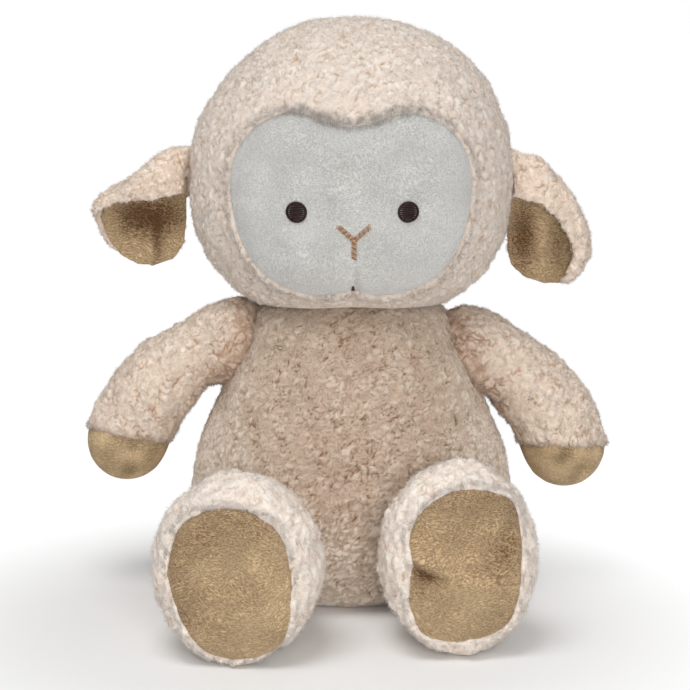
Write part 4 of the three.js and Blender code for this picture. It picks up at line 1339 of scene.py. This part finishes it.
def dentEar(obj, name):
    # both layers share the hollows; the lining is painted darker in them as painted shade, and paler where
    # a fold is pushed forward as painted light
    pivot = joints[f"{name}_ear_flap"]["pos_m"]
    spots = places(obj)
    out = (spots[:, 0] - pivot[0]) * earSides[name]["side"] / mm
    up = (spots[:, 2] - pivot[2]) / mm
    shade = np.zeros(len(spots))
    for place, height, wide, tall, push, dark in earSides[name]["dents"]:
        share = np.exp(-((out - place) / wide) ** 2 - ((up - height) / tall) ** 2)
        spots[:, 1] += push * share * mm
        shade += dark * share
    moveTo(obj, spots)
    keepValue(obj, "shade", shade)


def makeEar(name):
    back = softCopy(f"{name}_ear_coat", [f"{name}_ear_back"], earForm["backVoxel"], earForm["backSmooth"])
    drawToHead(back, name)
    dentEar(back, name)
    subdivide(back, 1)
    growFleece(back, earCoat, earSides[name]["seed"])
    give(back, armFleece, f"{name}_ear", f"{name}_ear_back")
    solid = f"{name}_ear_lining"
    lining = softCopy(f"{name}_ear_velour", [solid], earForm["liningVoxel"], earForm["liningSmooth"])
    drawToHead(lining, name)
    drawEdgeIn(lining, name)
    dentEar(lining, name)
    lining.data.shade_smooth()
    give(lining, tanVelour, f"{name}_ear", solid)
    say(f"{name} ear is made")


tailForm = {"voxel": 2.4, "pressure": 15000, "cap": 1.2}
tailCoat = {
    "curl": {"size": 8, "bend": 0.9, "stretch": 1, "slope": 0.5, "soft": 0.7, "depth": 1.5},
    "lump": {"size": 14, "depth": 0.6},
    "tuft": {"size": 5, "depth": 0.4},
    "hair": {"share": 1.4, "length": 2.6, "thickness": 0.17, "lean": 0.4, "comb": 1, "tuft": 6},
    "seamPile": 0.2,
    "fill": 0.6,
}


def makeTail():
    tail = softCopy("tail_coat", ["tail"], tailForm["voxel"], 2)
    plump(tail, tailForm)
    subdivide(tail, 1)
    growFleece(tail, tailCoat, 61)
    give(tail, armFleece, "tail", "tail")
    say("tail is made")


# What is inside: loose fibre fill, the pellet pouch and the panel that closes the seat
fills = {
    "head_stuffing": "head",
    "body_stuffing": "torso",
    "neck_wad": "neck",
    "left_arm_stuffing": "left_arm",
    "right_arm_stuffing": "right_arm",
    "left_leg_stuffing": "left_leg",
    "right_leg_stuffing": "right_leg",
}
fillForm = {"voxel": 4, "tuft": 9, "depth": 1.6, "gap": 0.8}
pouchForm = {"voxel": 3, "pellet": 6, "depth": 0.5, "gap": 0.7, "fill": 0.5}
seatForm = {"voxel": 1.2, "curl": 4, "level": 0.6, "swing": 0.4}


def makeFill(node, body):
    fill = softCopy(f"{node}_wad", [node], fillForm["voxel"], 3)
    tuft = softNoise(places(fill), fillForm["tuft"] * mm, 71)
    pushOut(fill, -((np.abs(tuft) * fillForm["depth"] + fillForm["gap"]) * mm))
    # painted shade: the fill is painted darker where it is pressed in deeper
    keepValue(fill, "pile", np.clip(1 - np.abs(tuft), 0, 1))
    fill.data.shade_smooth()
    give(fill, cotton, body, node)


def makePouch():
    pouch = softCopy("pellet_bag", ["pellet_pouch"], pouchForm["voxel"], 2)
    subdivide(pouch, 1)
    lumps = softNoise(places(pouch), pouchForm["pellet"] * mm, 73)
    pushOut(pouch, -((lumps * pouchForm["depth"] + pouchForm["gap"]) * mm))
    pouch.data.shade_smooth()
    give(pouch, pouchCloth, "torso", "pellet_pouch")


def makeSeat():
    seat = softCopy("seat_coat", ["seat_panel"], seatForm["voxel"], 2)
    curls = softNoise(places(seat), seatForm["curl"] * mm, 75)
    keepValue(seat, "pile", np.clip(seatForm["level"] + seatForm["swing"] * curls, 0, 1))
    seat.data.shade_smooth()
    give(seat, bodyFleece, "torso", "seat_panel")


# Embroidery
thread = {
    "radius": 0.45,
    "sides": 6,
    "steps": 6,
    "sunk": 0.15,
    "endSlim": 0.45,
    "bow": 0.9,
    "eyeSpacing": 1,
    "eyeWide": 0.9,
    "eyeTall": 0.93,
    "rimLines": 44,
    "rimInner": 0.8,
    "rimOuter": 1.03,
    "rimLean": 0.1,
    "rimBow": 1.2,
    "noseSpacing": 1.25,
    "noseLean": 0.25,
}
tuckSize = {"across": 1, "low": 173.6, "high": 177, "shifts": (-0.7, 0, 0.7), "radius": 0.4, "bow": 0.6}


def frontOf(face, across, height):
    # where the face's velour lies in front of a place
    hit, spot, normal, _ = face.ray_cast(Vector((across, -200, height)) * mm, Vector((0, 1, 0)))
    if not hit:
        raise ValueError(f"no face lies at {across:.1f}, {height:.1f}")
    return spot, normal


def strand(bm, start, end, radius, face, bow, tone=0):
    # one satin stitch that lies on the velour from start to end, bowed up at its middle
    layer = bm.verts.layers.float.get("tone") or bm.verts.layers.float.new("tone")
    steps = thread["steps"]
    sides = thread["sides"]
    middles = []
    for step in range(steps + 1):
        share = step / steps
        across = start[0] + (end[0] - start[0]) * share
        height = start[1] + (end[1] - start[1]) * share
        spot, normal = frontOf(face, across, height)
        rise = bow * math.sin(math.pi * share) ** 0.6 - thread["sunk"]
        middles.append((spot + normal * rise * mm, normal))
    run = (middles[-1][0] - middles[0][0]).normalized()
    previous = None
    for index, (spot, normal) in enumerate(middles):
        side = run.cross(normal).normalized()
        slim = thread["endSlim"] if index in (0, steps) else 1
        ring = []
        for corner in range(sides):
            angle = corner / sides * 2 * math.pi
            offset = side * math.cos(angle) + normal * math.sin(angle)
            ring.append(bm.verts.new(spot + offset * radius * slim * mm))
            ring[-1][layer] = tone
        if previous:
            for corner in range(sides):
                following = (corner + 1) % sides
                bm.faces.new((previous[corner], previous[following], ring[following], ring[corner]))
        else:
            bm.faces.new(ring[::-1])
        previous = ring
    bm.faces.new(previous)


def finishThread(bm, name, material, node):
    bmesh.ops.recalc_face_normals(bm, faces=bm.faces)
    made = fromBmesh(name, bm)
    made.data.shade_smooth()
    give(made, material, "head", node)


def makeEye(name, face):
    bm = bmesh.new()
    across = eyeSize[f"{name}Across"]
    height = eyeSize["height"]
    radius = eyeSize["radius"]
    lines = int(2 * radius / thread["eyeSpacing"])
    for index in range(lines):
        up = (index + 0.5) / lines * 2 - 1
        half = radius * math.sqrt(1 - up * up) * thread["eyeWide"]
        row = height + up * radius * thread["eyeTall"]
        start = (across - half, row)
        end = (across + half, row)
        strand(bm, start, end, thread["radius"], face, thread["bow"], index % 2)
    inner = radius * thread["rimInner"]
    outer = radius * thread["rimOuter"]
    for index in range(thread["rimLines"]):
        angle = index / thread["rimLines"] * 2 * math.pi
        turned = angle + thread["rimLean"]
        start = (across + inner * math.cos(angle), height + inner * math.sin(angle))
        end = (across + outer * math.cos(turned), height + outer * math.sin(turned))
        strand(bm, start, end, thread["radius"], face, thread["rimBow"])
    finishThread(bm, f"{name}_eye_thread", eyeThread, f"{name}_eye")


def satinStroke(bm, start, end, width, face, spacing):
    # short stitches across a stroke
    a = Vector((start[0], start[1], 0))
    b = Vector((end[0], end[1], 0))
    run = b - a
    side = Vector((-run.y, run.x, 0)).normalized() * (width / 2)
    lean = run.normalized() * (width * thread["noseLean"])
    count = max(2, int(run.length / spacing))
    for index in range(count + 1):
        spot = a + run * (index / count)
        low = spot - side - lean
        high = spot + side + lean
        strand(bm, (low.x, low.y), (high.x, high.y), thread["radius"], face, thread["bow"], index % 2)


def makeNose(face):
    bm = bmesh.new()
    size = noseSize
    fork = (size["across"], size["height"])
    for side in (-1, 1):
        end = (size["across"] + side * size["spread"], size["height"] + size["rise"])
        satinStroke(bm, end, fork, size["stroke"], face, thread["noseSpacing"])
    foot = (size["across"], size["height"] - size["stem"])
    satinStroke(bm, fork, foot, size["stroke"], face, thread["noseSpacing"])
    finishThread(bm, "nose_thread", noseThread, "nose_stitch")


def makeTuck(face):
    bm = bmesh.new()
    size = tuckSize
    for shift in size["shifts"]:
        low = (size["across"] + shift, size["low"])
        high = (size["across"] + shift * 0.5, size["high"])
        strand(bm, low, high, size["radius"], face, size["bow"])
    finishThread(bm, "tuck_thread", tuckThread, "chin_tuck_stitch")


say("frame is loaded")
facePiece = makeHead()
makeBody()
for sideName in ("left", "right"):
    makeArm(sideName)
    makeLeg(sideName)
    makeEar(sideName)
makeTail()
for fillNode, fillBody in fills.items():
    makeFill(fillNode, fillBody)
makePouch()
makeSeat()
bpy.context.view_layer.update()
makeEye("left", facePiece)
makeEye("right", facePiece)
makeNose(facePiece)
makeTuck(facePiece)
say("pieces are made")


# Studio: pale floor, soft light, the photograph's angle
studio = {
    "cameraPlace": (0, -1181.8, 363.4),
    "aim": (-3.3, 0, 134),
    "lens": 114.1,
    "sensor": 36,
    "roomLight": 0.42,
    "paper": (0.9, 0.9, 0.9, 1),
    "glowStrength": 1.05,
    "glowShare": 0.02,
    "glowNear": 0.1,
    "glowFar": 0.27,
    "shadeCentre": (-30, -90, 0),
    "lampAim": (0, 0, 140),
}
lamps = {
    "key": {"place": (-250, -450, 1250), "size": 0.7, "power": 6.5},
    "fill": {"place": (180, -1130, 330), "size": 0.4, "power": 5},
}


def shaderTree(holder):
    holder.use_nodes = True
    holder.node_tree.nodes.clear()
    return holder.node_tree


def makeFloor():
    # paper that glows white for the camera, less so near the toy, where it shows the shadow
    bm = bmesh.new()
    bmesh.ops.create_grid(bm, x_segments=1, y_segments=1, size=6)
    floor = fromBmesh("floor", bm)
    made = bpy.data.materials.new("floor_paint")
    tree = shaderTree(made)
    centre = tuple(part * mm for part in studio["shadeCentre"])
    gap = vectorMaths(tree, "SUBTRACT", objectPlace(tree), centre)
    away = nodeIn(tree, "ShaderNodeVectorMath", {0: gap}, operation="LENGTH").outputs["Value"]
    far = spread(tree, away, studio["glowNear"], studio["glowFar"], studio["glowShare"])
    seen = nodeIn(tree, "ShaderNodeLightPath").outputs["Is Camera Ray"]
    paint = nodeIn(tree, "ShaderNodeBsdfDiffuse", {"Color": studio["paper"]})
    glow = nodeIn(tree, "ShaderNodeEmission", {"Strength": studio["glowStrength"]})
    feeds = {"Fac": maths(tree, "MULTIPLY", far, seen), 1: paint.outputs[0], 2: glow.outputs[0]}
    mix = nodeIn(tree, "ShaderNodeMixShader", feeds)
    nodeIn(tree, "ShaderNodeOutputMaterial", {"Surface": mix.outputs[0]})
    floor.data.materials.append(made)


def makeRoom():
    # soft light from all round, and white behind the toy
    world = bpy.data.worlds.new("room")
    tree = shaderTree(world)
    white = (1, 1, 1, 1)
    seen = nodeIn(tree, "ShaderNodeLightPath").outputs["Is Camera Ray"]
    room = nodeIn(tree, "ShaderNodeBackground", {"Color": white, "Strength": studio["roomLight"]})
    backdrop = nodeIn(tree, "ShaderNodeBackground", {"Color": white})
    mix = nodeIn(tree, "ShaderNodeMixShader", {"Fac": seen, 1: room.outputs[0], 2: backdrop.outputs[0]})
    nodeIn(tree, "ShaderNodeOutputWorld", {"Surface": mix.outputs[0]})
    scene.world = world


def aimed(name, data, place, aim):
    made = newObject(name, data)
    made.location = Vector(place) * mm
    made.rotation_euler = (Vector(aim) * mm - made.location).to_track_quat("-Z", "Y").to_euler()
    return made


def makeLamp(name):
    lamp = bpy.data.lights.new(name, "AREA")
    lamp.shape = "DISK"
    lamp.size = lamps[name]["size"]
    lamp.energy = lamps[name]["power"]
    aimed(name, lamp, lamps[name]["place"], studio["lampAim"])


def makeCamera():
    camera = bpy.data.cameras.new("camera")
    camera.lens = studio["lens"]
    camera.sensor_width = studio["sensor"]
    scene.camera = aimed("camera", camera, studio["cameraPlace"], studio["aim"])


makeFloor()
makeRoom()
for lampName in lamps:
    makeLamp(lampName)
makeCamera()
scene.view_settings.view_transform = "Standard"
say("studio is set")
